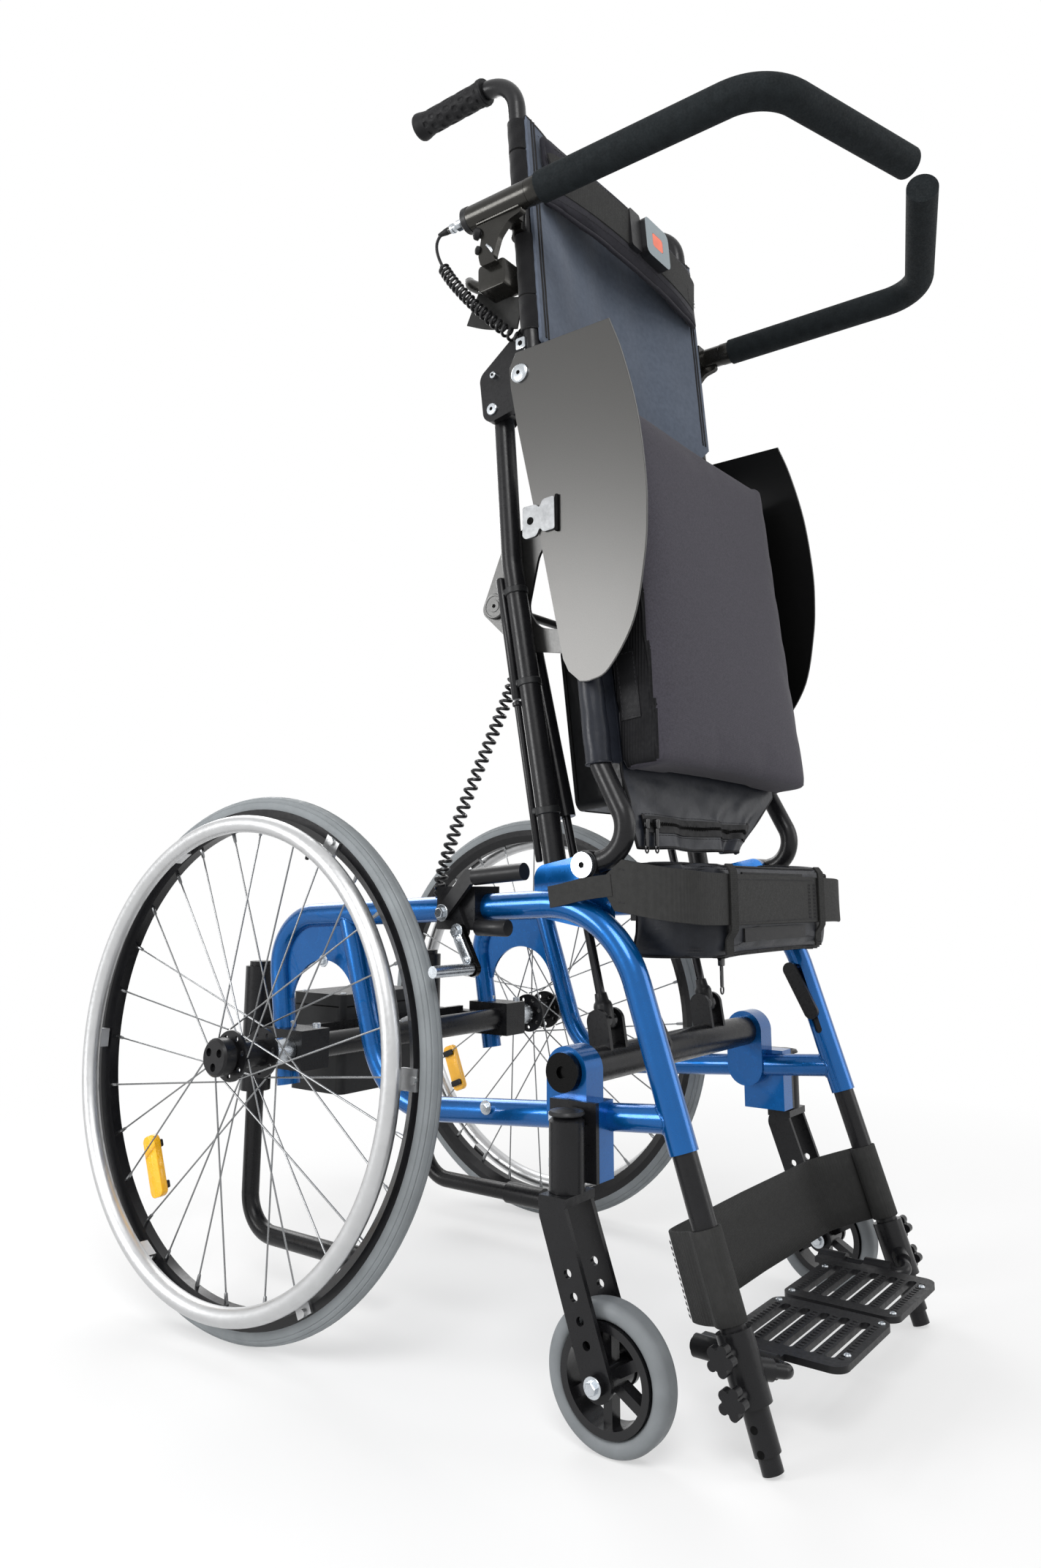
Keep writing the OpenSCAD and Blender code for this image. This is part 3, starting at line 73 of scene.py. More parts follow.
X, Y, Z = Vector((1, 0, 0)), Vector((0, 1, 0)), Vector((0, 0, 1))


def lerp(a, b, t):
    return a + (b - a) * t


def on_seat(x, up, out):
    """Point on the seat: across, along the seat tubes and out towards the cushion."""
    return X * x + SEAT_FOOT + SEAT_UP * up + SEAT_OUT * out


def on_leg(x, back, up):
    """Point on the leaning front legs: across, backwards and up along the leg."""
    c, s = cos(LEG_LEAN), sin(LEG_LEAN)
    return X * x + LEG_FOOT + Vector((0, c, -s)) * back + Vector((0, s, c)) * up


def on_wheel(x, y, out):
    """Point on the left wheel: in its plane and outboard along its cambered axle."""
    c, s = cos(radians(CAMBER)), sin(radians(CAMBER))
    hub_at = Vector((WHEEL_X, 0, WHEEL_Z))
    return hub_at + Vector((s, 0, -c)) * x + Y * y + Vector((c, 0, s)) * out


def cane_y(z):
    """Place of the leaning back canes at a height."""
    return lerp(CANE_FOOT.y, CANE_HEAD.y, (z - CANE_FOOT.z) / (CANE_HEAD.z - CANE_FOOT.z))


def to_part(p):
    """A place in mm as a place of the part in metres."""
    return (Vector(p) + Y * AXLE_Y) * MM


def from_part(p):
    """A place of the part in metres as a place in mm."""
    return p / MM - Y * AXLE_Y


TREES = {}


def hug(piece, points, lift):
    """Points moved onto a piece's surface and out of it by lift mm."""
    if piece.name not in TREES:
        mesh = piece.data
        TREES[piece.name] = BVHTree.FromPolygons(
            [v.co.copy() for v in mesh.vertices], [tuple(f.vertices) for f in mesh.polygons])
    near = [TREES[piece.name].find_nearest(to_part(p)) for p in points]
    return [from_part(hit[0]) + hit[1] * lift for hit in near]


def smooth(t):
    t = max(0.0, min(1.0, t))
    return t * t * (3 - 2 * t)


def ring(n):
    return [2 * pi * i / n for i in range(n)]


def polar(r, t):
    return r * cos(t), r * sin(t)


def turn(r, t, side, up):
    """Offset of r at an angle between two directions."""
    return r * (cos(t) * side + sin(t) * up)


def steps(a, b, n):
    return [lerp(a, b, i / n) for i in range(n + 1)]


def run(place, a, b, out, n):
    """Points on a surface along a straight run from a to b, each given across and up."""
    return [place(lerp(a[0], b[0], t), lerp(a[1], b[1], t), out) for t in steps(0, 1, n)]


def curve(points, n):
    """Smooth path through points."""
    p = [Vector(q) for q in points]
    p = [2 * p[0] - p[1]] + p + [2 * p[-1] - p[-2]]
    path = []
    for a, b, c, d in zip(p, p[1:], p[2:], p[3:]):
        for i in range(n):
            t = i / n
            path.append(0.5 * (2 * b + (c - a) * t + (2 * a - 5 * b + 4 * c - d) * t * t
                               + (3 * b - a - 3 * c + d) * t ** 3))
    return path + [p[-2]]


def ahead_of(path, closed=False):
    """Direction of a path at each of its points."""
    before, after = path[-1:] + path[:-1], path[1:] + path[:1]
    if not closed:
        before[0], after[-1] = path[0], path[-1]
    return [(b - a).normalized() for a, b in zip(before, after)]


def per_point(value, path):
    return value if hasattr(value, "__len__") else [value] * len(path)


STRAP_SECTION = [(-0.98, -1), (-0.5, -1), (0, -1), (0.5, -1), (0.98, -1), (1, -0.3), (1, 0.3),
                 (0.98, 1), (0.5, 1), (0, 1), (-0.5, 1), (-0.98, 1), (-1, 0.3), (-1, -0.3)]


class Build:
    """Faces gathered in mm that become one piece."""

    def __init__(self):
        self.verts, self.faces = [], []

    def add(self, verts, faces):
        n = len(self.verts)
        self.verts += [Vector(v) for v in verts]
        self.faces += [[i + n for i in f] for f in faces]
        return self

    def loft(self, rows, closed=False, caps=True):
        """Skin over rings of points, closed into a loop or capped at both ends."""
        n, m = len(rows), len(rows[0])
        faces = []
        for i in range(n if closed else n - 1):
            a, b = i * m, (i + 1) % n * m
            faces += [(a + j, a + (j + 1) % m, b + (j + 1) % m, b + j) for j in range(m)]
        if caps and not closed:
            faces += [tuple(reversed(range(m))), tuple((n - 1) * m + j for j in range(m))]
        return self.add([p for row in rows for p in row], faces)

    def tube(self, path, radius, sides=8, closed=False):
        """Round tube along a path; radius is one value or one for each point."""
        path = [Vector(p) for p in path]
        rows, side = [], None
        for p, r, d in zip(path, per_point(radius, path), ahead_of(path, closed)):
            side = d.orthogonal() if side is None else side - d * side.dot(d)
            side = side.normalized()
            up = d.cross(side)
            rows.append([p + turn(r, t, side, up) for t in ring(sides)])
        return self.loft(rows, closed)

    def strap(self, path, across, width, thick):
        """Webbing along a path; across is the way its width runs."""
        rows = []
        for p, w, d in zip(path, per_point(width, path), ahead_of(path)):
            wide = (across - d * across.dot(d)).normalized()
            out = d.cross(wide)
            rows.append([p + wide * (w / 2 * u) + out * (thick / 2 * v) for u, v in STRAP_SECTION])
        return self.loft(rows)

    def slab(self, front, back):
        """Closed sheet between two grids of points."""
        m = len(front[0])
        rows = [f + b[::-1] for f, b in zip(front, back)]
        n = len(rows)
        self.loft(rows, caps=False)
        base = len(self.verts) - n * 2 * m
        for i in (0, n - 1):
            for j in range(m - 1):
                quad = [i * 2 * m + k for k in (j, j + 1, 2 * m - 2 - j, 2 * m - 1 - j)]
                self.faces.append([base + k for k in (quad if i else quad[::-1])])
        return self

    def turned(self, centre, axis, profile, sides=24):
        """Turned form: profile of (radius, height) along an axis."""
        axis = Vector(axis).normalized()
        side = axis.orthogonal().normalized()
        up = axis.cross(side)
        rows = [[Vector(centre) + axis * h + turn(r, t, side, up) for t in ring(sides)]
                for r, h in profile]
        return self.loft(rows)

    def bolt(self, centre, axis, d, h=None, washer=1.5):
        """Hex bolt head on a washer."""
        h = h or 0.4 * d
        rim = [(0.9 * d, -0.2), (0.9 * d, washer - 0.3), (0.87 * d, washer)]
        head = [(0.577 * d, -0.2), (0.577 * d, h * 0.8), (0.5 * d, h)]
        self.turned(centre, axis, rim)
        return self.turned(Vector(centre) + axis * washer, axis, head, 6)

    def block(self, centre, x, y, size, corner=2.0, edge=0.6):
        """Box on two axes and their normal, with round corners and eased edges."""
        x, y = Vector(x).normalized(), Vector(y).normalized()
        z = x.cross(y)
        rows = []
        for h, inset in ((-1, edge), (-1, edge * 0.3), (-1, 0), (1, 0), (1, edge * 0.3), (1, edge)):
            sunk = (edge - inset if inset < edge else 0) * (0.3 if inset else 1)
            lift = h * (size[2] / 2 - sunk)
            row = []
            for t in ring(16):
                cx, cy = cos(t + 0.001), sin(t + 0.001)
                px = copysign(size[0] / 2 - corner, cx) + corner * cx
                py = copysign(size[1] / 2 - corner, cy) + corner * cy
                row.append(Vector(centre) + x * px * (1 - 2 * inset / size[0])
                           + y * py * (1 - 2 * inset / size[1]) + z * lift)
            rows.append(row)
        return self.loft(rows)

    def stitches(self, path, length=3.4, pitch=5.2, r=0.45):
        """Sewing thread: short dashes along a path."""
        path = [Vector(p) for p in path]
        far = [0.0]
        for a, b in zip(path, path[1:]):
            far.append(far[-1] + (b - a).length)

        def at(s):
            for i in range(len(path) - 1):
                if s <= far[i + 1] or i == len(path) - 2:
                    part = (s - far[i]) / max(1e-9, far[i + 1] - far[i])
                    return lerp(path[i], path[i + 1], part)

        for k in range(int(far[-1] / pitch)):
            a, b = at(k * pitch), at(k * pitch + length)
            self.tube([a, lerp(a, b, 0.5), b], [0.5 * r, r, 0.5 * r], 5)
        return self

    def socket(self, centre, r):
        """Dark hex mark for the recess of a screw that faces outwards: painted shade."""
        return self.turned(centre, X, [(r, 0), (r, 0.4)], 6)

    def join(self, other):
        return self.add(other.verts, other.faces)

    def flipped(self):
        """The faces moved to the other side."""
        self.verts = [Vector((-v.x, v.y, v.z)) for v in self.verts]
        self.faces = [f[::-1] for f in self.faces]
        return self

    def mirrored(self):
        """The same faces on the other side too."""
        return self.join(Build().join(self).flipped())

    def make(self, name, look, body=None, crease=38):
        """The piece, in metres in the part's frame, riding a body."""
        data = bpy.data.meshes.new(name)
        data.from_pydata([to_part(v) for v in self.verts], [], self.faces)
        data.materials.append(look.mat)
        data.polygons.foreach_set("use_smooth", [True] * len(data.polygons))
        data.set_sharp_from_angle(angle=radians(crease))
        data.update()
        obj = bpy.data.objects.new(name, data)
        scene.collection.objects.link(obj)
        if body:
            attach(obj, body)
        return obj


RIB_PER_M = 0.314


class Look:
    """Material whose colour, roughness and surface vary by procedural textures."""

    def __init__(self, name, slot, color, rough, metal=0.0, shade=0.15, scale=45,
                 grain=None, pits=None, shine=None, **sockets):
        self.slot = slot
        self.mat = bpy.data.materials.new(name)
        self.mat.use_nodes = True
        self.tree = self.mat.node_tree
        self.shader = self.tree.nodes["Principled BSDF"]
        self.place = self.node("ShaderNodeTexCoord").outputs["Object"]
        self.normal = None
        sockets["Metallic"] = metal
        if shine is not None:
            sockets["Specular_IOR_Level"] = shine
        for key, value in sockets.items():
            self.shader.inputs[key.replace("_", " ")].default_value = value
        dark, light = ([c * k for c in color] + [1] for k in (1 - shade, 1 + shade))
        self.color = self.ramp(self.noise(scale, 4), (0.3, dark), (0.7, light))
        self.link(self.color, self.shader.inputs["Base Color"])
        swing = 0.35 * rough * 0.5
        spread = self.span(self.noise(scale * 5, 3), (0.3, 0.7), (rough - swing, rough + swing))
        self.link(spread, self.shader.inputs["Roughness"])
        self.mat.diffuse_color = (*color, 1)
        if grain:
            self.bump(self.noise(grain[0], *grain[2:]), grain[1])
        if pits:
            self.bump(self.cells(pits[0]), pits[1])

    def node(self, kind, **values):
        made = self.tree.nodes.new(kind)
        for key, value in values.items():
            setattr(made, key, value)
        return made

    def link(self, a, b):
        self.tree.links.new(a, b)

    def texture(self, kind, out, values, **setup):
        made = self.node(kind, **setup)
        for key, value in values.items():
            made.inputs[key].default_value = value
        self.link(self.place, made.inputs["Vector"])
        return made.outputs[out]

    def noise(self, scale, detail=2.0):
        return self.texture("ShaderNodeTexNoise", "Fac", {"Scale": scale, "Detail": detail})

    def cells(self, scale):
        return self.texture("ShaderNodeTexVoronoi", "Distance", {"Scale": scale})

    def wave(self, axis, period, wobble=0.0):
        """Ribs along an axis, one each period in mm."""
        values = {"Scale": RIB_PER_M / (period * MM), "Distortion": wobble, "Detail": 1}
        return self.texture("ShaderNodeTexWave", "Fac", values, bands_direction=axis)

    def maths(self, how, a, b):
        made = self.node("ShaderNodeMath", operation=how)
        for socket, value in zip(made.inputs, (a, b)):
            if isinstance(value, (int, float)):
                socket.default_value = value
            else:
                self.link(value, socket)
        return made.outputs[0]

    def span(self, value, low_high, to):
        made = self.node("ShaderNodeMapRange")
        self.link(value, made.inputs["Value"])
        for key, v in zip(("From Min", "From Max", "To Min", "To Max"), (*low_high, *to)):
            made.inputs[key].default_value = v
        return made.outputs["Result"]

    def ramp(self, value, *stops):
        made = self.node("ShaderNodeValToRGB")
        self.link(value, made.inputs["Fac"])
        for element, (place, color) in zip(made.color_ramp.elements, stops):
            element.position, element.color = place, color
        return made.outputs["Color"]

    def tint(self, value, color):
        """Another colour where value is high."""
        made = self.node("ShaderNodeMix", data_type="RGBA")
        self.link(value, made.inputs["Factor"])
        self.link(self.color, made.inputs[6])
        made.inputs[7].default_value = (*color, 1)
        self.color = made.outputs[2]
        self.link(self.color, self.shader.inputs["Base Color"])
        return self

    def bump(self, height, depth, strength=0.7):
        """Relief of a depth in mm."""
        made = self.node("ShaderNodeBump")
        made.inputs["Strength"].default_value = strength
        made.inputs["Distance"].default_value = depth * MM
        self.link(height, made.inputs["Height"])
        if self.normal:
            self.link(self.normal, made.inputs["Normal"])
        self.normal = made.outputs["Normal"]
        self.link(self.normal, self.shader.inputs["Normal"])
        return self

    def axis(self, source, which, low, high):
        """Rises from 0 to 1 between two values of one axis of a vector."""
        made = self.node("ShaderNodeSeparateXYZ")
        self.link(source, made.inputs[0])
        return self.span(made.outputs[which], (low, high), (0, 1))

    def woven(self, period, depth):
        """Plain weave: two crossing sets of threads."""
        a, b = self.wave("X", period, 0.4), self.wave("Z", period, 0.4)
        return self.bump(self.maths("MULTIPLY", a, b), depth)

    def facing(self, which, low, high):
        """Rises from 0 to 1 as faces turn from one to another share of an axis."""
        normal = self.node("ShaderNodeNewGeometry").outputs["Normal"]
        return self.axis(normal, which, low, high)


# Looks, one for each finish of the record, then those of small trim; grain and pits are the scale
# and depth of the finest relief
BLACK, DARK = (0.008, 0.008, 0.009), (0.012, 0.012, 0.012)
paint = Look("frame paint", "frame_blue", (0.0006, 0.088, 0.30), 0.26, 0.55, 0.05, 22,
             (2200, 0.008), shine=0.2, Coat_Weight=0.45, Coat_Roughness=0.05)
tube = Look("satin black", "tube_black", BLACK, 0.30, grain=(1300, 0.012), shine=0.24)
rim = Look("rim black", "rim_black", (0.006, 0.006, 0.007), 0.22, grain=(500, 0.01), shine=0.3)
steel = Look("spoke steel", "spoke_steel", (0.24, 0.245, 0.25), 0.3, 1.0, grain=(900, 0.004))
hub = Look("hub black", "hub_black", BLACK, 0.32, grain=(1100, 0.02), shine=0.25)
alu = Look("handrim aluminium", "handrim_aluminium", (0.54, 0.545, 0.55), 0.38, 1.0, 0.04, 60,
           (1500, 0.001, 4))
zinc = Look("zinc", "zinc", (0.52, 0.55, 0.58), 0.28, 1.0, 0.12, 110, (800, 0.02, 4))
box = Look("box plastic", "box_black", (0.010, 0.0105, 0.0115), 0.44, pits=(1500, 0.05), shine=0.28)
lever = Look("lever black", "lever_black", BLACK, 0.40, grain=(1200, 0.03), shine=0.25)
tyre = Look("tyre rubber", "wheel_tyre", (0.215, 0.232, 0.242), 0.62, 0, 0.10, 30, (420, 0.08, 5),
            shine=0.25)
caster_tyre = Look("caster rubber", "caster_tyre", (0.175, 0.188, 0.197), 0.55, 0, 0.10, 40,
                   (520, 0.08, 5), shine=0.25)
caster_rim = Look("caster plastic", "caster_rim_black", (0.007, 0.007, 0.008), 0.24,
                  grain=(800, 0.02), shine=0.35)
foot = Look("footplate plastic", "footplate_black", BLACK, 0.42, pits=(1300, 0.08), shine=0.25)
plate = Look("lever plate", "lever_grey", (0.085, 0.085, 0.084), 0.40, 0.9, 0.06, 300, (1400, 0.03))
rod = Look("rod dark steel", "rod_steel", (0.022, 0.022, 0.024), 0.14, 0.6, grain=(1500, 0.005))
cylinder = Look("gas cylinder", "cylinder_black", (0.006, 0.006, 0.007), 0.18, grain=(600, 0.01),
                shine=0.4)
guard = Look("guard sheet", "guard_sheet", (0.078, 0.077, 0.075), 0.36, 0.9, 0.06, 900,
             (1500, 0.02, 3))
# Faces of the guard sheets that turn in towards the seat are tinted dark: painted shade.
inward_face_painted_shade = guard.maths("SUBTRACT", guard.facing(0, -0.1, 0.1),
                     guard.axis(guard.place, 0, -0.001, 0.001))
guard.tint(guard.maths("MULTIPLY", inward_face_painted_shade, inward_face_painted_shade), DARK)
grip = Look("grip rubber", "grip_rubber", BLACK, 0.58, grain=(1500, 0.05), shine=0.2)
foam = Look("arm foam", "arm_foam", (0.010, 0.0125, 0.014), 0.8, 0, 0.2, 90, pits=(900, 0.14),
            shine=0.12)
foam.bump(foam.noise(60), 0.3, 0.5)
gloss = Look("housing gloss", "box_black", (0.030, 0.029, 0.026), 0.24, 0.7, 0.08, 60, (700, 0.01))
buckle = Look("buckle plastic", "buckle_grey", (0.010, 0.010, 0.011), 0.36, pits=(1400, 0.05),
              shine=0.3)
buckle_front = buckle.maths("MULTIPLY", buckle.facing(1, -0.6, -0.7),
                            buckle.axis(buckle.place, 0, 0.0, 0.001))
buckle.tint(buckle_front, (0.22, 0.262, 0.283))
button = Look("button plastic", "button_red", (0.79, 0.155, 0.08), 0.35, grain=(900, 0.02))
cord_skin = Look("cord sheath", "cord_black", (0.009, 0.009, 0.010), 0.34, grain=(1200, 0.02),
                 shine=0.35)
cushion = Look("cushion cloth", "cushion_cloth", (0.050, 0.047, 0.058), 0.85, 0, 0.16, 420,
               shine=0.12, Sheen_Weight=0.1, Sheen_Roughness=0.4)
cushion.woven(1.3, 0.14)
cushion_side = Look("cushion side", "cushion_cloth", (0.009, 0.009, 0.010), 0.75, shine=0.12)
cushion_side.bump(cushion_side.wave("Y", 3.4, 0.2), 0.7).bump(cushion_side.noise(900), 0.06)
apron = Look("apron nylon", "apron_cloth", (0.013, 0.015, 0.021), 0.34, 0, 0.14, 120, shine=0.22)
apron.woven(0.9, 0.06).bump(apron.noise(24, 3), 2.4, 0.5)
pad_cloth = Look("pad nylon", "apron_cloth", (0.014, 0.0155, 0.020), 0.46, 0, 0.16, 120, shine=0.22)
pad_cloth.woven(0.9, 0.08).bump(pad_cloth.noise(40, 3), 0.9, 0.5)
back = Look("back cloth", "back_cloth", (0.088, 0.105, 0.138), 0.85, 0, 0.10, 140,
            shine=0.12, Sheen_Weight=0.12, Sheen_Roughness=0.4)
back.woven(1.1, 0.12)
belt = Look("belt cloth", "belt_cloth", (0.016, 0.0155, 0.021), 0.7, 0, 0.14, 140,
            shine=0.12, Sheen_Weight=0.08)
belt.woven(1.1, 0.12)
webbing = Look("webbing", "webbing", (0.027, 0.027, 0.0265), 0.68, 0, 0.10, 150, shine=0.14)
webbing.bump(webbing.wave("X", 2.1, 0.2), 0.3).bump(webbing.noise(900), 0.05)
band_cloth = Look("upright webbing", "webbing", (0.014, 0.014, 0.0135), 0.7, 0, 0.10, 150,
                  shine=0.14)
band_cloth.bump(band_cloth.wave("Z", 1.9, 0.2), 0.25).bump(band_cloth.noise(700), 0.06)
velcro = Look("hook tape", "webbing", (0.007, 0.007, 0.008), 0.95, 0, 0.35, 900,
              shine=0.05, Sheen_Weight=0.2)
velcro.bump(velcro.noise(1500, 5), 0.5, 1.0)
piping = Look("black binding", "webbing", (0.009, 0.009, 0.010), 0.55, shine=0.16)
piping.bump(piping.wave("DIAGONAL", 1.4), 0.12)
thread = Look("thread", "webbing", (0.028, 0.028, 0.031), 0.7, grain=(1500, 0.1), shine=0.2)
# Near-black for the zip teeth, the latch screw and the strip at the latch's end, and painted shade:
# dark marks that stand in for holes, screw recesses and lid seams.
black_trim_and_painted_recess_shade = Look("bore dark", "tube_black", (0.002, 0.002, 0.002), 0.8, grain=(900, 0.05), shine=0.1)
amber = Look("reflector amber", None, (0.95, 0.47, 0.006), 0.2, 0, 0.06, 60, pits=(420, 0.5),
             Coat_Weight=0.4, Coat_Roughness=0.05)
bolts = Look("frame bolts", "zinc", (0.52, 0.55, 0.58), 0.28, 1.0, 0.12, 110, (800, 0.02, 4))
cap_band = [bolts.axis(bolts.place, 2, *band) for band in ((0.284, 0.285), (0.331, 0.330))]
bolts.tint(bolts.maths("MULTIPLY", *cap_band), DARK)
brake_look = Look("brake arm", "zinc", (0.50, 0.53, 0.56), 0.28, 1.0, 0.1, 110, (800, 0.02, 4))
side_way = brake_look.node("ShaderNodeVectorMath", operation="ABSOLUTE")
brake_look.link(brake_look.place, side_way.inputs[0])
brake_look.tint(brake_look.axis(side_way.outputs[0], 0, 0.2325, 0.2318), DARK)
latch_look = Look("latch zinc", "zinc", (0.20, 0.205, 0.21), 0.42, 1.0, 0.16, 160, (900, 0.03, 4))

# Each CAD node takes the look of its finish, apart from those with a look of their own
FINISHES = {look.slot: look for look in (
    paint, tube, rim, steel, hub, alu, zinc, box, lever, caster_tyre, caster_rim, foot, plate, rod,
    cylinder, foam, buckle, button)}
OWN_LOOKS = {"frame_bolts": bolts, "brake_arm_r": brake_look, "brake_arm_l": brake_look,
             "arm_housings": gloss}
for name, obj in nodes.items():
    for material_slot in obj.material_slots:
        look = OWN_LOOKS.get(name) or FINISHES.get(material_slot.material.name)
        if look:
            material_slot.material = look.mat


def both(make_left, name, look, body, crease=38):
    """A left piece and its mirror image, each on the body of its side."""
    made = []
    for side in "lr":
        build = make_left()
        if side == "r":
            build.flipped()
        made.append(build.make(f"{name}_{side}", look, f"{body}_{side}", crease))
    return made


# Rear wheels: tyres with ribs, spoke nipples, valves and reflectors
TYRE_RING, TYRE_R, RIM_IN = 284.5, 12.5, 262
GROOVES = ((4, 9), (20, 25), (38, 43), (64, 67))
GROOVE_DEPTH = 0.8
SPOKES, FLANGE, LACE = 28, 29.6, radians(62)


def tyre_ring():
    section = []
    for t in ring(72):
        deg = degrees(t if t <= pi else 2 * pi - t)
        r = TYRE_R - (GROOVE_DEPTH if any(a < deg < b for a, b in GROOVES) else 0)
        section.append((TYRE_RING + r * cos(t), r * sin(t)))
    rows = [[on_wheel(*polar(r, a), z) for r, z in section] for a in ring(132)]
    return Build().loft(rows, closed=True)


def spoke_nipples():
    build = Build()
    for i, a in enumerate(ring(SPOKES)):
        side = -1 if i % 2 else 1
        f = a + (-LACE if i // 2 % 2 else LACE)
        tip = on_wheel(*polar(RIM_IN, a), 2 * side)
        head = on_wheel(*polar(FLANGE, f), 22 * side)
        d = (head - tip).normalized()
        build.tube([tip, tip + 3 * d, tip + 11 * d, tip + 12.5 * d], [2.7, 2.3, 1.9, 1.2])
    return build


def valve():
    a = radians(200)
    path = [on_wheel(*polar(r, a), 0) for r in (RIM_IN, 248, 247, 236, 235)]
    return Build().tube(path, [3.2, 3.2, 2.4, 2.4, 1.6], 10)


for obj, side in zip(both(tyre_ring, "tyre_tread", tyre, "wheel", 30), "lr"):
    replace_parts(obj, f"tyre_{side}")
both(spoke_nipples, "spoke_nipples", steel, "wheel")
both(valve, "tyre_valve", grip, "wheel")

REFLECTORS = {"r": (159, 154), "l": (168, 197)}
REFLECTOR_SIZE, REFLECTOR_CLIP, CLIP_OFF = (72, 24, 9), (9, 18, 8), 24
along = Vector((0, 0.385, 0.923))
across = along.cross(X)
for side, (y, z) in REFLECTORS.items():
    lens = Build().block((WHEEL_X + 1, y, z), along, across, REFLECTOR_SIZE, 8, 1.6)
    clip = Build()
    for off in (-CLIP_OFF, CLIP_OFF):
        clip.block(Vector((WHEEL_X - 5, y, z)) + along * off, along, across, REFLECTOR_CLIP, 2, 1)
    if side == "r":
        lens.flipped(), clip.flipped()
    lens.make(f"reflector_{side}", amber, f"wheel_{side}")
    clip.make(f"reflector_clip_{side}", hub, f"wheel_{side}")

# Push grips: rubber sleeves with rows of oval dimples and a flared end
GRIP_FRONT, GRIP_END, GRIP_Z = -277, -164, 1476
GRIP_R, GRIP_FLARE, GRIP_LIP = 15.2, 17.6, 16.6
DIMPLE, DIMPLE_ROWS, DIMPLE_FACES, DIMPLE_SIZE = 1.6, 9, 8, (0.42, 0.34)
DIMPLE_FROM, DIMPLE_TO, LIP_SHARE, END_SHARE = 0.08, 0.86, 0.06, 0.012


def grip_sleeve(side):
    rows = []
    for y in steps(GRIP_FRONT, GRIP_END, 100):
        along = (y - GRIP_FRONT) / (GRIP_END - GRIP_FRONT)
        base = lerp(GRIP_R, GRIP_FLARE, smooth((along - 0.84) / 0.14))
        if along < LIP_SHARE:
            base = GRIP_LIP
        if min(along, 1 - along) < END_SHARE:
            base -= 0.9
        shift = 0.5 * (int(along * DIMPLE_ROWS) % 2)
        du = (along * DIMPLE_ROWS) % 1 - 0.5
        row = []
        for t in ring(72):
            dv = (t / (2 * pi) * DIMPLE_FACES + shift) % 1 - 0.5
            deep = smooth((1 - hypot(du / DIMPLE_SIZE[0], dv / DIMPLE_SIZE[1])) / 0.4)
            r = base - DIMPLE * (deep if DIMPLE_FROM < along < DIMPLE_TO else 0)
            row.append(Vector((side * CANE_X + r * cos(t), y, GRIP_Z + r * sin(t))))
        rows.append(row)
    return Build().loft(rows)


grips = grip_sleeve(1).join(grip_sleeve(-1))
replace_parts(grips.make("push_grip_sleeves", grip, "back", 30), "push_grips")

# Back: sling in front of the canes with a flap below, wraps round them, binding and seams
SLING_Z0, SLING_Z1, SLING_SAG, SLING_T, SLING_AHEAD = 1107, 1407, 26, 4.4, 5.4
SLING_HALF, FLAP_HALF, FLAP_Z0, FLAP_Z1 = 204, 183, 1058, 1090
SLEEVES = ((1122, 1164), (1166, 1246), (1296, 1360), (1363, 1404))


def sling_y(x, z, inward=0.0):
    """Front of the back sling, with tension folds that run down it and in from the canes."""
    u = min(1.0, abs(x) / (CANE_X + CANE_R))
    pull = exp(-(1 - u) / 0.22) * (1 - u) / 0.22
    fold = 1.8 * pull * sin(2 * pi * z / 57 + 0.8 * sin(z / 23))
    fold += 1.3 * sin(x / 14 + z / 140)
    level = cane_y(z) - CANE_R - SLING_AHEAD
    return level + SLING_SAG * (1 - u * u) ** 2 + fold * (1 - u * u) + inward


def sling_x(u, z):
    """Across the sling, which is narrower in the flap below the canes."""
    return u * lerp(FLAP_HALF, SLING_HALF, max(0, min(1, (z - FLAP_Z1) / (SLING_Z0 - FLAP_Z1))))


def on_sling(u, z, inward=0.0):
    x = sling_x(u, z)
    return Vector((x, sling_y(x, z, inward), z))


us, zs = steps(-1, 1, 88), steps(FLAP_Z0, SLING_Z0, 16)[:-1] + steps(SLING_Z0, SLING_Z1, 66)
sling_grids = [[[on_sling(u, z, t) for u in us] for z in zs] for t in (0, SLING_T)]
sling_piece = Build().slab(*sling_grids).make("back_sling_cloth", back, "back", 60)
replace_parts(sling_piece, "back_sling")
sleeve = Build()
for z0, z1 in SLEEVES:
    rows = []
    for z in steps(z0, z1, 16):
        row = []
        for t in ring(28):
            r = CANE_R + 2.4 + 0.4 * sin(3 * t + z / 9) * sin(z / 7)
            row.append(Vector((CANE_X + r * cos(t), cane_y(z) + r * sin(t), z)))
        rows.append(row)
    sleeve.loft(rows)
sleeve.mirrored().make("cane_sleeves", velcro, "back", 60)
binding = Build()
for z in (FLAP_Z0 + 1, SLING_Z1 - 1):
    binding.tube([on_sling(u, z) + Y * SLING_T / 2 for u in us], 2.9, 10)
for x in (-195, -189, 189, 195):
    binding.tube([(x, sling_y(x, z) + 0.2, z) for z in zs if z > SLING_Z0], 1.7, 8)
binding.make("back_binding", piping, "back", 60)
seams = Build()
for z in (FLAP_Z0 + 12, SLING_Z1 - 12):
    seams.stitches([(x, sling_y(x, z) - 0.1, z) for x in steps(-180, 180, 60)])
seams.make("back_seams", thread, "back")

# Pads
PUFF_PRESSURE, PUFF_FRAMES = 4.0, 20


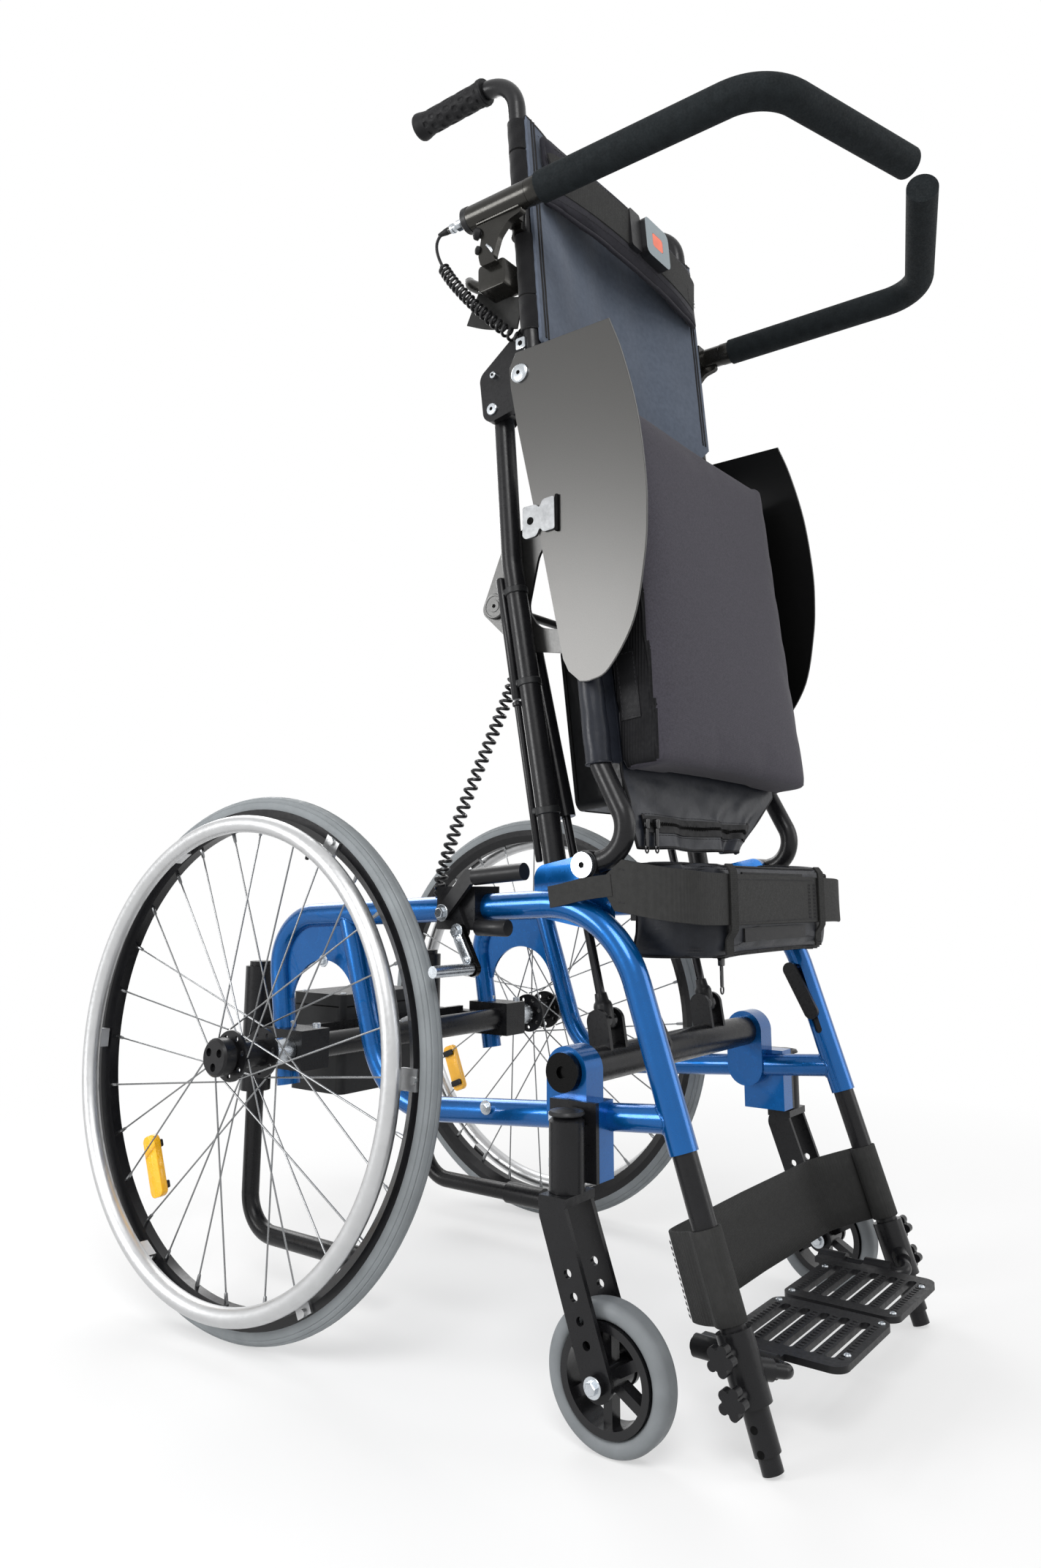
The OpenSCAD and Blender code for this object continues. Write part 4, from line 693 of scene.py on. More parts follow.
def puff(obj, voxel, limit, rests=lambda p: False):
    """Fills a closed pad out as its stuffing does, by at most limit mm, except where it rests."""
    depsgraph = bpy.context.evaluated_depsgraph_get

    def bake():
        bpy.context.view_layer.update()
        data = bpy.data.meshes.new_from_object(obj.evaluated_get(depsgraph()))
        obj.modifiers.clear()
        obj.data = data
        data.polygons.foreach_set("use_smooth", [True] * len(data.polygons))

    remesh = obj.modifiers.new("remesh", "REMESH")
    remesh.mode, remesh.voxel_size = "VOXEL", voxel * MM
    bake()
    before = [v.co.copy() for v in obj.data.vertices]
    cloth = obj.modifiers.new("cloth", "CLOTH")
    cloth.settings.use_pressure = True
    cloth.settings.uniform_pressure_force = PUFF_PRESSURE
    cloth.settings.effector_weights.gravity = 0
    cloth.point_cache.frame_start, cloth.point_cache.frame_end = 1, PUFF_FRAMES
    for f in range(1, PUFF_FRAMES + 1):
        scene.frame_set(f)
    after = [v.co.copy() for v in obj.evaluated_get(depsgraph()).data.vertices]
    obj.modifiers.clear()
    for v, a, b in zip(obj.data.vertices, before, after):
        move = b - a
        cap = 0 if rests(from_part(a)) else limit * MM
        if move.length > cap:
            move = move.normalized() * cap if cap else Vector()
        v.co = a + move
    scene.frame_set(1)
    smoothing = obj.modifiers.new("smooth", "SMOOTH")
    smoothing.factor, smoothing.iterations = 0.5, 2
    bake()
    finer = obj.modifiers.new("finer", "SUBSURF")
    finer.levels = finer.render_levels = 1
    bake()


def drawn(u, v, wide, long, draw_in):
    """Spot on a pad whose sides pull in between its corners."""
    return (wide / 2 * u * (1 - draw_in * (1 - v * v)), long / 2 * v * (1 - draw_in * (1 - u * u)))


def pad_grid(place, wide, long, high, n=20, edge=0.75, draw_in=0.02):
    """Grids of the top and bottom of a crowned pad."""
    g = [-cos(pi * i / n) for i in range(n + 1)]
    top, bottom = [], []
    for v in g:
        spots = [drawn(u, v, wide, long, draw_in) for u in g]
        top.append([place(x, y, high * lerp(edge, 1, (1 - u ** 4) * (1 - v ** 4)))
                    for (x, y), u in zip(spots, g)])
        bottom.append([place(x, y, 0) for x, y in spots])
    return top, bottom


def around(corners, n):
    """Points along the sides of a closed outline."""
    return [(lerp(a[0], b[0], t), lerp(a[1], b[1], t))
            for a, b in zip(corners, corners[1:] + corners[:1]) for t in steps(0, 1, n)[:-1]]


def pad_edge(wide, long, n, draw_in=0.02):
    """Outline of a pad, as across and along values."""
    corners = ((-1, -1), (1, -1), (1, 1), (-1, 1))
    return [drawn(u, v, wide, long, draw_in) for u, v in around(corners, n)]


# Seat cushion on its sling
CUSHION_W, CUSHION_L, CUSHION_T, CUSHION_OUT = 378, 420, 56, 16.6
CUSHION_UP = SEAT_L - CUSHION_L / 2


def on_cushion(x, up, out):
    return on_seat(x, CUSHION_UP + up, CUSHION_OUT + out)


def out_of_seat(p):
    return (p - SEAT_FOOT).dot(SEAT_OUT)


cushion_grids = pad_grid(on_cushion, CUSHION_W, CUSHION_L, CUSHION_T - 2, edge=0.88)
cushion_piece = Build().slab(*cushion_grids).make("seat_cushion_cover", cushion)
puff(cushion_piece, 7, 4, lambda p: out_of_seat(p) < CUSHION_OUT + 3)
cushion_piece.data.materials.append(cushion_side.mat)
for face in cushion_piece.data.polygons:
    if abs(face.normal.x) > 0.72:
        face.material_index = 1
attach(cushion_piece, "seat")
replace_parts(cushion_piece, "seat_cushion")
welt = Build()
for x in (-1, 1):
    edge = [on_cushion(x * CUSHION_W / 2, up, CUSHION_T * 0.84) for up in steps(-204, 204, 70)]
    welt.tube(hug(cushion_piece, edge, 0.3), 1.3, 8)
welt.make("cushion_piping", cushion_side, "seat", 60)
PATCH_UP, PATCH_HALF, PATCH_OUT0, PATCH_OUT1, PATCH_SEAM = -118, 37, 6, 30, ((-34, 8), (34, 28))


def on_patch(a, b):
    return on_cushion(-CUSHION_W / 2, PATCH_UP + a, b)


grid = [[on_patch(a, b) for b in steps(PATCH_OUT0, PATCH_OUT1, 6)]
        for a in steps(-PATCH_HALF, PATCH_HALF, 12)]
rows = [[hug(cushion_piece, line, lift) for line in grid] for lift in (1.0, -0.8)]
Build().slab(*rows).make("cushion_patch", piping, "seat", 60)
(a0, b0), (a1, b1) = PATCH_SEAM
edge = [on_patch(a, b) for a, b in around(((a0, b0), (a1, b0), (a1, b1), (a0, b1)), 8)]
Build().stitches(hug(cushion_piece, edge, 1.1)).make("cushion_patch_seam", thread, "seat")

# Seat sling that hangs on below the cushion as an apron, with its zip
APRON_DROP, APRON_HEM, APRON_OUT, APRON_T = 88, 13.4, 13.3, 3.0
APRON_HALF, APRON_NEAR, APRON_FAR, APRON_FOLD = 182, 166, 58, 8


def apron_at(u, up, out=0.0):
    """Point on the seat sling, with the folds its free end falls into; its far side is cut away."""
    free = max(0.0, (-up - APRON_HEM) / (APRON_DROP - APRON_HEM))
    half = lerp(APRON_HALF, APRON_NEAR if u < 0 else APRON_FAR, free)
    fold = APRON_FOLD * free * (1 + cos(3 * pi * u)) / 2
    fold += smooth(2 * free) * (1.5 * sin(9 * u + up / 16) + 0.9 * sin(21 * u - up / 9))
    return on_seat(half * u, up, APRON_OUT + out + fold)


us, ups = steps(-1, 1, 80), steps(-APRON_DROP, 0, 36)[:-1] + steps(0, SEAT_L, 30)
apron_grids = [[[apron_at(u, up, out) for u in us] for up in ups] for out in (APRON_T, 0)]
apron_piece = Build().slab(*apron_grids).make("seat_sling", apron, "seat", 60)
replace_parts(apron_piece, "seat_apron")
ZIP_UP, ZIP_SPAN = -64, steps(-0.91, 0.75, 60)
trim = Build()
trim.tube([apron_at(u, -APRON_DROP, 1.5) for u in us], 2.0, 8)
for u in (-1, 1):
    trim.tube([apron_at(u, up, 1.5) for up in ups if up < 12], 1.8, 8)
for off in (-5, 5):
    trim.strap([apron_at(u, ZIP_UP + off, APRON_T + 0.9) for u in ZIP_SPAN], SEAT_UP, 7.5, 1.8)
for u in (ZIP_SPAN[0], ZIP_SPAN[-1]):
    trim.strap([apron_at(u, ZIP_UP + off, APRON_T + 1.2) for off in steps(-10, 10, 6)], X, 6, 1.8)
trim.make("apron_binding", piping, "seat", 60)


def zip_teeth(place, span, along, size):
    """Teeth of a zip, set by turns to either side of its line."""
    build = Build()
    for i, s in enumerate(steps(*span, 120)):
        build.block(place(s, 1 if i % 2 else -1), X, along, size, 0.4, 0.2)
    return build


def zip_pull(at, drop):
    """Slider and its hanging tab with an eye."""
    build = Build().block(at, X, Z, (8, 10, 4.4), 2, 0.8)
    tab = at - Z * (drop / 2 + 4)
    build.block(tab, X, Z, (5.5, drop, 1.8), 2.2, 0.5)
    eye = tab - Z * (drop / 2 + 2)
    loop = [eye + turn(1, t, X * 3, Z * 4) for t in ring(18)]
    return build.tube(loop, 0.9, 6, closed=True)


zipper = zip_teeth(lambda u, side: apron_at(u, ZIP_UP + 0.6 * side, APRON_T + 1.6),
                   (ZIP_SPAN[0], ZIP_SPAN[-1]), SEAT_UP, (1.1, 4.2, 1.4))
zipper.make("apron_zip_teeth", black_trim_and_painted_recess_shade, "seat")
pulls = Build()
for u in (-0.91, -0.82):
    pulls.join(zip_pull(apron_at(u, ZIP_UP, APRON_T + 3.4), 20))
pulls.make("apron_zip_pulls", cylinder, "seat")
seams = Build()
for off in (-11, 11):
    seams.stitches([apron_at(u, ZIP_UP + off, APRON_T + 0.2) for u in ZIP_SPAN])
seams.make("apron_seams", thread, "seat")
SLEEVE_R, SLEEVE_UP0, SLEEVE_UP1 = 13.9, -2, 372


def by_seat_tube(r, t, up):
    return on_seat(SEAT_X + r * cos(t), up, r * sin(t))


rows = []
for up in steps(SLEEVE_UP0, SLEEVE_UP1, 60):
    swell = 0.3 * sin(up / 6.5)
    row = [(SLEEVE_R + swell * sin(3 * t) + 0.3 * sin(up / 17), t) for t in ring(26)]
    rows.append([by_seat_tube(r, t, up) for r, t in row])
sleeves = Build().loft(rows)
for up in (SLEEVE_UP0 + 1, SLEEVE_UP1 - 1):
    sleeves.tube([by_seat_tube(14, t, up) for t in ring(24)], 1.0, 8, closed=True)
front, rear = ([[on_seat(lerp(174, 198, k), up, out + lerp(APRON_OUT + 1, 11, k ** 2))
                 for k in steps(0, 1, 6)] for up in steps(SLEEVE_UP0, SLEEVE_UP1, 40)]
               for out in (1.6, 0))
sleeves.slab(front, rear)
sleeves.mirrored().make("seat_tube_sleeves", apron, "seat", 60)

# Chest belt: padded, with rolled edges, webbing and stitching
BELT_W, BELT_H, BELT_T, BELT_Z, BELT_BOW = 372, 92, 15, 1340, 10


def on_belt(x, up, out):
    z = BELT_Z + up
    u = x / (BELT_W / 2)
    return Vector((x, cane_y(z) - CANE_R - 5.6 - BELT_BOW * (1 - u * u) - out, z))


belt_grids = pad_grid(on_belt, BELT_W, BELT_H, BELT_T - 1, 26, 0.6, 0.01)
belt_piece = Build().slab(*belt_grids).make("chest_belt_pad", belt)
puff(belt_piece, 5, 3, lambda p: p.y > on_belt(p.x, p.z - BELT_Z, 2).y)
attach(belt_piece, "back")
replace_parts(belt_piece, "chest_belt")
edge = [on_belt(x, y, BELT_T * 0.4) for x, y in pad_edge(BELT_W, BELT_H, 24, 0.01)]
Build().tube(hug(belt_piece, edge, 0.6), 3.2, 10, closed=True).make("belt_piping", belt, "back", 60)
strap = Build()
for x0, x1 in ((-186, -20), (50, 186)):
    middle = hug(belt_piece, run(on_belt, (x0, 0), (x1, 0), 2 * BELT_T, 30), 1.2)
    strap.strap(middle, Z, 48, 2.4)
strap.make("belt_webbing", webbing, "back", 60)
belt_seams = [((x, -21), (x, 21), 6, 2.5) for x in (-176, -150, 150, 176)]
belt_seams += [((x, y), (x + 26, y), 4, 2.5) for y in (-21, 21) for x in (-176, 150)]
belt_seams += [((-172, y), (172, y), 60, 0.2) for y in (-38, 38)]
seams = Build()
for a, b, n, lift in belt_seams:
    seams.stitches(hug(belt_piece, run(on_belt, a, b, 2 * BELT_T, n), lift))
seams.make("belt_seams", thread, "back")

# Knee pad wrapped round the knees, with its strap, loops, hook tape and zip
PAD_X, PAD_H, PAD_T, PAD_Y, PAD_Z = 1, 96, 40, -497, 463
PAD_FLAT, PAD_BEND, PAD_WING = 122, 6, 44
PAD_ARC = PAD_BEND * pi / 2
PAD_W = 2 * (PAD_FLAT + PAD_ARC + PAD_WING)


def on_pad(x, up, out):
    """Point on the pad: along its inner face, which turns back at both ends, up and outwards."""
    s, side = abs(x), 1 if x >= 0 else -1
    if s <= PAD_FLAT:
        across, y = s, PAD_Y - out
    elif s <= PAD_FLAT + PAD_ARC:
        t = (s - PAD_FLAT) / PAD_BEND
        across = PAD_FLAT + (PAD_BEND + out) * sin(t)
        y = PAD_Y + PAD_BEND - (PAD_BEND + out) * cos(t)
    else:
        across, y = PAD_FLAT + PAD_BEND + out, PAD_Y + PAD_BEND + s - PAD_FLAT - PAD_ARC
    return Vector((PAD_X + side * across, y, PAD_Z + up))


knee_grids = pad_grid(on_pad, PAD_W, PAD_H, PAD_T, 110, 0.9)
knee_piece = Build().slab(*knee_grids).make("knee_pad_cover", pad_cloth)
puff(knee_piece, 5, 3)
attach(knee_piece, "knee_support")
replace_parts(knee_piece, "knee_pad")


def over_pad(a, b, n, lift):
    """Run on the pad's own surface."""
    return hug(knee_piece, run(on_pad, a, b, 2 * PAD_T, n), lift)


welt = Build()
for high in (5, PAD_T * 0.86):
    edge = [on_pad(x, y, high) for x, y in pad_edge(PAD_W, PAD_H, 60)]
    welt.tube(hug(knee_piece, edge, 0.4), 1.4, 8, closed=True)
welt.make("knee_pad_piping", piping, "knee_support", 60)
STRAP_OUT = 45
line = curve([(188, -521, 466), (184, -533, 468), (165, -540, 471), (110, -541.5, 472),
              (0, -542, 473), (-120, -542, 474), (-168, -540, 475), (-188, -530, 477),
              (-201, -508, 480), (-209, -476, 486), (-212.5, -447, 491)], 8)
last = len(line) - 1
wide = [(24 + 27 * smooth((i - 4) / 10)) * min(1.0, 0.16 + 0.84 * (last - i) / 5)
        for i in range(last + 1)]
band = Build().strap(line, Z, wide, 2.6)
band.turned((188, -516, 454), Z, [(5.2, 0), (6.0, 0.8), (6.0, 23.2), (5.2, 24)], 20)
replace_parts(band.make("knee_strap_webbing", webbing, "knee_support", 60), "knee_strap")
loops, tacks = Build(), Build()
for x in (-122, 104):
    arch = [(y, smooth((y + 30) / 12) * smooth((49 - y) / 11)) for y in steps(-43, 46, 30)]
    loops.strap([on_pad(x, y, 41.8 + 6.4 * rise) for y, rise in arch], X, 16, 2)
    for y in (-40, -37, 41, 44):
        tacks.stitches(run(on_pad, (x - 6.5, y), (x + 6.5, y), 43.6, 1), 2.6, 3.1, 0.6)
loops.make("knee_pad_loops", band_cloth, "knee_support", 60)
for x in (72, 76, 86, 90):
    tacks.stitches(run(on_pad, (x, -12), (x, 31), STRAP_OUT + 1.6, 1), 3, 4)
for y in (-12, 31):
    tacks.stitches(run(on_pad, (-108, y), (90, y), STRAP_OUT + 1.6, 40), 3, 4)
for off in (-20, 20):
    tacks.stitches([p + Z * off * 0.8 - X * 1.6 for p in line[-8:-4]], 3, 4.4)
for y in (-43, 45):
    tacks.stitches(over_pad((-118, y), (118, y), 50, 0.3))
tacks.make("knee_pad_seams", thread, "knee_support")
tape = Build()
for y in (-28, 40):
    tape.strap(over_pad((-92, y), (62, y), 24, 1.0), Z, 14, 2.4)
tape.make("knee_pad_hook_tape", velcro, "knee_support", 60)


def zip_at(x, lift, off=0.0):
    return hug(knee_piece, [on_pad(x, -PAD_H / 2 - 20, PAD_T * 0.72 + off)], lift)[0]


Build().strap([zip_at(x, 0.9) for x in steps(-120, 120, 50)], Y, 13, 1.6).make(
    "knee_pad_zip", piping, "knee_support", 60)
zip_teeth(lambda x, side: zip_at(x, 2.0, 0.5 * side), (-118, 118), Y, (1, 3.8, 1.3)).make(
    "knee_pad_zip_teeth", black_trim_and_painted_recess_shade, "knee_support")
zip_pull(zip_at(-116, 4.5, 3), 22).make("knee_pad_zip_pull", cylinder, "knee_support")
tail = curve([(-212.2, -458, 488), (-214, -440, 486), (-214.4, -420, 483), (-213.4, -400, 479),
              (-212.2, -382, 476)], 8)
tail_piece = Build().strap(tail, Z, 22, 2.2)
tail_piece.turned((-188, -516, 458), Z, [(5, 0), (5.8, 0.8), (5.8, 23.2), (5, 24)], 20)
tail_piece.make("knee_strap_tail", webbing, "chassis", 60)

# Calf strap: wide webbing round both legs and across behind them
CALF_UP0, CALF_UP1, CALF_RING, CALF_T = -142, -64, 13.4, 2.6
CALF_SWEEP = ((198, 17, 0), (189, 34, 0), (172, 54, 0), (150, 60, 0), (100, 61, 0), (0, 64, 0))
half_path = [(FRAME_X + CALF_RING * sin(a), -CALF_RING * cos(a))
             for a in steps(radians(-150), radians(150), 30)]
half_path += [(q.x, q.y) for q in curve(CALF_SWEEP, 8)]
path = [on_leg(x, y, (CALF_UP0 + CALF_UP1) / 2) for x, y in half_path]
path += [Vector((-p.x, p.y, p.z)) for p in reversed(path[:-1])]
leg_up = (on_leg(0, 0, 1) - on_leg(0, 0, 0)).normalized()
calf = Build().strap(path, leg_up, CALF_UP1 - CALF_UP0, CALF_T)
calf_piece = calf.make("calf_strap_webbing", webbing, "legs", 60)
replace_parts(calf_piece, "calf_strap")
seams = Build()
for s in (-1, 1):
    for x, y in ((177.2, 53), (171.2, 57.5)):
        seams.stitches([on_leg(s * x, y, up) for up in steps(CALF_UP0 + 4, CALF_UP1 - 4, 6)])
seams.make("calf_strap_seams", thread, "legs")

# Curly cords
RINGS, LEAD_RINGS, FINE = 8, 10, 3


def bezier(p, t):
    s = 1 - t
    return s ** 3 * p[0] + 3 * s * s * t * p[1] + 3 * s * t * t * p[2] + t ** 3 * p[3]


def bezier_way(p, t):
    s = 1 - t
    return (s * s * (p[1] - p[0]) + 2 * s * t * (p[2] - p[1]) + t * t * (p[3] - p[2])).normalized()


def coil(route, lead, turns, r):
    """Path of a curly cord: a plain lead over the first share of its route, then turns."""
    p = [Vector(q) for q in route]
    last = LEAD_RINGS + turns * RINGS
    path = []
    for k in steps(0, last, last * FINE):
        t = lead * k / LEAD_RINGS
        if k > LEAD_RINGS:
            t = lead + (1 - lead) * (k - LEAD_RINGS) / (turns * RINGS)
        d = bezier_way(p, t)
        x = d.cross(X).normalized()
        y = d.cross(x)
        c = max(0, k - LEAD_RINGS)
        grow = min(1, c / RINGS, (last - k) / RINGS)
        a = 2 * pi * c / RINGS
        path.append(bezier(p, t) + turn(r * grow, a, x, y))
    return path


# For each cord its route, the share that is plain lead, its turns, their radius and the wire's, and
# the bodies of its two ends
CORDS = {
    "arm": (((-239, -250, 1270), (-239, -205, 1272), (-238, -250, 1190), (-204, -337.2, 1112)),
            0.45, 20, 6, 1.9, "back", "back"),
    "lift": (((-147, -295, 753.5), (-147, -277, 693.5), (-186, -222, 560), (-196, -215, 480.3)),
             0.06, 27, 6, 1.9, "seat", "chassis"),
    "box": (((-80, -398, 573.5), (-80, -385, 500), (-120, -312, 490), (-179.2, -302, 466)),
            0.1, 10, 4.2, 1.5, "seat", "chassis"),
}
BOOT = ((1.8, 0), (2.4, 1), (2.2, 6), (1.2, 12), (0.5, 17))
for name, (route, lead, turns, r, wire, start, end) in CORDS.items():
    path = coil(route, lead, turns, r)
    ends = ("head", path[0], path[3], start), ("end", path[-1], path[-4], end)
    for which, p, inner, body in ends:
        way = inner - p
        boot = Build().turned(p - way.normalized() * 4, way, [(wire + k, h) for k, h in BOOT], 16)
        boot.make(f"{name}_cord_{which}", grip, body)
    piece = Build().tube(path, wire, 8).make(f"{name}_cord_coil", cord_skin)
    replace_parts(piece, f"{name}_cord")
    if start == end:
        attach(piece, start)
    else:
        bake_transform(piece)

# Small hardware on the frame
hardware = Build()
for centre, d in (((211.5, -48, 400), 8), ((211.5, -300, 262), 8)):
    hardware.bolt(centre, X, d)
for y in (-24, 24):
    hardware.turned((FRAME_X, y, WHEEL_Z + 23), Z,
                    [(5, 0), (5, 5), (4.3, 5.6), (2.6, 5.6), (2.6, 2.5)], 18)
hardware.mirrored().make("frame_hardware", zinc, "chassis")
# Dark hex marks in the knee pivots and in two screws on each side stand in for their recesses:
# painted shade.
dark = Build()
dark.turned((216.6, KNEE.y, KNEE.z), X, [(3.4, 0), (3.4, 0.5), (2.9, 0.6)], 6)
for z in (228, 268):
    dark.socket((FRAME_X + 33.4, -402, z), 2.4)
dark.mirrored().make("frame_sockets", black_trim_and_painted_recess_shade, "chassis")
WELD_SINK, BEAD_R, BEAD_RIPPLE = 0.2, 1.5, 0.35


def weld(start, end, r, c, d, big_r):
    """Bead where a tube that runs from start to end meets a bigger tube along c to d."""
    start, end, c, d = (Vector(q) for q in (start, end, c, d))
    way, axis = (end - start).normalized(), (d - c).normalized()
    side = way.orthogonal().normalized()
    up = way.cross(side)
    path = []
    for t in ring(72):
        p = start + turn(r, t, side, up)
        w = p - c - axis * (p - c).dot(axis)
        v = way - axis * way.dot(axis)
        a, b, e = v.dot(v), 2 * w.dot(v), w.dot(w) - (big_r - WELD_SINK) ** 2
        under = max(0.0, b * b - 4 * a * e)
        path.append(p + way * ((-b - sqrt(under)) / (2 * a)))
    return path, [BEAD_R + BEAD_RIPPLE * (i % 3 == 0) for i in range(len(path))]


beads = Build()
LEG_LOW, LEG_HIGH = LEG_FOOT + X * FRAME_X, (FRAME_X, -451, 473)
for path, radii in (
        weld((FRAME_X, -143, 330), (FRAME_X, -73, 455), 13, (FRAME_X, 54, 449), LEG_HIGH, TUBE_R),
        weld((FRAME_X, -400, 264), (FRAME_X, -515, 273), 13, LEG_LOW, LEG_HIGH, TUBE_R)):
    beads.tube(path, radii, 8, closed=True)
beads.mirrored().make("frame_welds", paint, "chassis", 60)
CROSS_SHARES = (0.34, 0.8)
seat_tube = on_seat(SEAT_X, 0, 0), on_seat(SEAT_X, SEAT_L, 0)
beads = Build()
for share in CROSS_SHARES:
    q = on_seat(0, SEAT_L * share, 0)
    beads.tube(*weld(q, q + X * SEAT_X, SEAT_R, *seat_tube, SEAT_R), 8, closed=True)
beads.mirrored().make("seat_welds", tube, "seat", 60)

# Side guards: cut sheet with a bright front edge, hip screws, and the latch plate on the near one
GUARD_IN, GUARD_OUT = 216.3, 218.8
GUARD_FRONT = ((-467, 1092), (-483, 1048), (-500, 980), (-509, 909), (-510, 861), (-506, 815),
               (-492, 752), (-462, 706), (-440, 696), (-426, 696))
GUARD_REAR = ((-412, 708), (-405, 722), (-376, 856), (-342, 1004), (-333, 1050), (-331, 1074),
              (-340, 1091))


def cut_plate(outline, x0, x1, bevel=0.985):
    """Flat plate across x, cut to an outline of (y, z)."""
    ease = 0.4 if x1 > x0 else -0.4
    middle = Vector((0, *(sum(values) / len(outline) for values in zip(*outline))))
    rows = []
    for x, k in ((x0, 1), (x1 - ease, 1), (x1, bevel)):
        rows.append([X * x + middle + (Vector((0, y, z)) - middle) * k for y, z in outline])
    area = sum(a[0] * b[1] - a[1] * b[0] for a, b in zip(outline, outline[1:] + outline[:1]))
    return Build().loft(rows if (x1 > x0) == (area > 0) else [row[::-1] for row in rows])


edge = curve([(GUARD_IN, y, z) for y, z in GUARD_FRONT], 6)
sheets = cut_plate([(q.y, q.z) for q in edge] + list(GUARD_REAR), GUARD_IN, GUARD_OUT, 0.998)
BOSS_X, BOSS_SHARES, BOSS_R = 211, (0.5, 0.875), 10
for share in BOSS_SHARES:
    boss = [(BOSS_R, 0), (BOSS_R, GUARD_IN - BOSS_X)]
    sheets.turned(on_seat(BOSS_X, SEAT_L * share, 0), X, boss, 24)
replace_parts(sheets.mirrored().make("side_guard_sheets", guard, "seat"), "side_guards")
Build().tube([q + X * 1.25 for q in edge], 0.9, 8).mirrored().make("guard_edges", plate, "seat", 60)
screws, sockets = Build(), Build()
screws.turned((GUARD_OUT, HIP.y, HIP.z), X,
              [(11.4, 0), (11.4, 2.4), (10.6, 3.2), (8, 4.2), (4, 4.4)], 32)
# A dark hex mark on each hip screw stands in for its recess: painted shade.
sockets.socket((GUARD_OUT + 4.2, HIP.y, HIP.z), 2.7)
screws.mirrored(), sockets.mirrored()


def rounded(points, r=3.0):
    """Outline with its corners eased."""
    p = [Vector(q) for q in points]
    line = []
    for a, b, c in zip(p[-1:] + p[:-1], p, p[1:] + p[:1]):
        s, e = (b + (q - b).normalized() * min(r, (q - b).length / 2) for q in (a, c))
        line += [((1 - t) ** 2 * s + 2 * t * (1 - t) * b + t * t * e).to_tuple()
                 for t in steps(0, 1, 4)]
    return line


LATCH = ((-353, 866), (-353, 900), (-372, 900), (-376, 895), (-381, 904), (-396, 905),
         (-397, 867), (-382, 866), (-377, 872), (-372, 863), (-357, 862))
latch = cut_plate(rounded(LATCH), -GUARD_OUT, -GUARD_OUT - 3.2)
latch.make("guard_latch", latch_look, "seat")
screws.make("guard_hardware", zinc, "seat")
sockets.turned((-GUARD_OUT - 3, -364, 882), -X,
               [(4.4, 0), (4.4, 0.5), (3.6, 0.8), (1.7, 0.8), (1.7, 0.3)], 18)
sockets.block((-GUARD_OUT - 1.6, -399, 885), Y, Z, (4, 42, 3.2), 1.2, 0.4)
sockets.make("guard_sockets", black_trim_and_painted_recess_shade, "seat")

# Back plates: lug at each cane's foot, stop screw and link screw
screws, sockets = Build(), Build()
screws.block((212.6, -343, 1104), Y, Z, (13, 14, 3.4), 2, 0.5)
screws.turned((186, LINK_HEAD.y, LINK_HEAD.z), X, [(7.4, 0), (7.4, 2), (6.6, 2.8), (3.4, 3)], 24)
screws.turned((186, -283, 1092), X, [(4.2, 0), (4.2, 4.6), (3.4, 5.4), (2, 5.4)], 18)
screws.mirrored().make("back_hardware", zinc, "back")
# Dark hex marks stand in for the recesses of the lug, link and stop screws: painted shade.
sockets.socket((214.2, -343, 1104), 3.4)
sockets.socket((188.9, LINK_HEAD.y, LINK_HEAD.z), 2.4)
sockets.socket((191.3, -283, 1092), 1.9)
sockets.mirrored().make("back_sockets", black_trim_and_painted_recess_shade, "back")

# Lift levers: plates with a window between the cross tubes, and stepped washers with a socket screw
WINDOW = ((-392, 905), (-405, 778), (-385, 768), (-322, 782), (-306, 806), (-322, 872),
          (-372, 914))
LEVER_X, LEVER_EYE = 149, (-259, 816.5)
levers = nodes["lift_levers"].copy()
levers.data = nodes["lift_levers"].data.copy()
levers.name = "lift_lever_plates"
scene.collection.objects.link(levers)
cutter = cut_plate(rounded(WINDOW, 10), -200, 200, 1.0).make("lever_window", plate)
cut = levers.modifiers.new("cut", "BOOLEAN")
cut.object, cut.operation, cut.solver = cutter, "DIFFERENCE", "EXACT"
bpy.context.view_layer.update()
depsgraph = bpy.context.evaluated_depsgraph_get()
opened = bpy.data.meshes.new_from_object(levers.evaluated_get(depsgraph))
levers.modifiers.clear()
levers.data = opened
bpy.data.objects.remove(cutter)
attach(levers, "seat")
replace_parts(levers, "lift_levers")
bits, sockets = Build(), Build()
bits.turned((LEVER_X, *LEVER_EYE), X, [(15.6, 0), (15.6, 4.2), (14.4, 5.4), (12.6, 5.4),
                                      (12.2, 4.8), (7.6, 4.8), (7.2, 5.6), (3.4, 5.6)], 36)
for share in CROSS_SHARES:
    q = on_seat(LEVER_X, SEAT_L * share, 0)
    bits.turned(q, X, [(15.5, 0), (15.5, 1.6), (14.8, 2.2), (11.2, 2.2)], 32)
bits.mirrored().make("lever_hardware", plate, "seat")
# A dark hex mark stands in for the recess of each lever screw: painted shade.
sockets.socket((LEVER_X + 5.5, *LEVER_EYE), 2.6)
sockets.mirrored().make("lever_sockets", black_trim_and_painted_recess_shade, "seat")

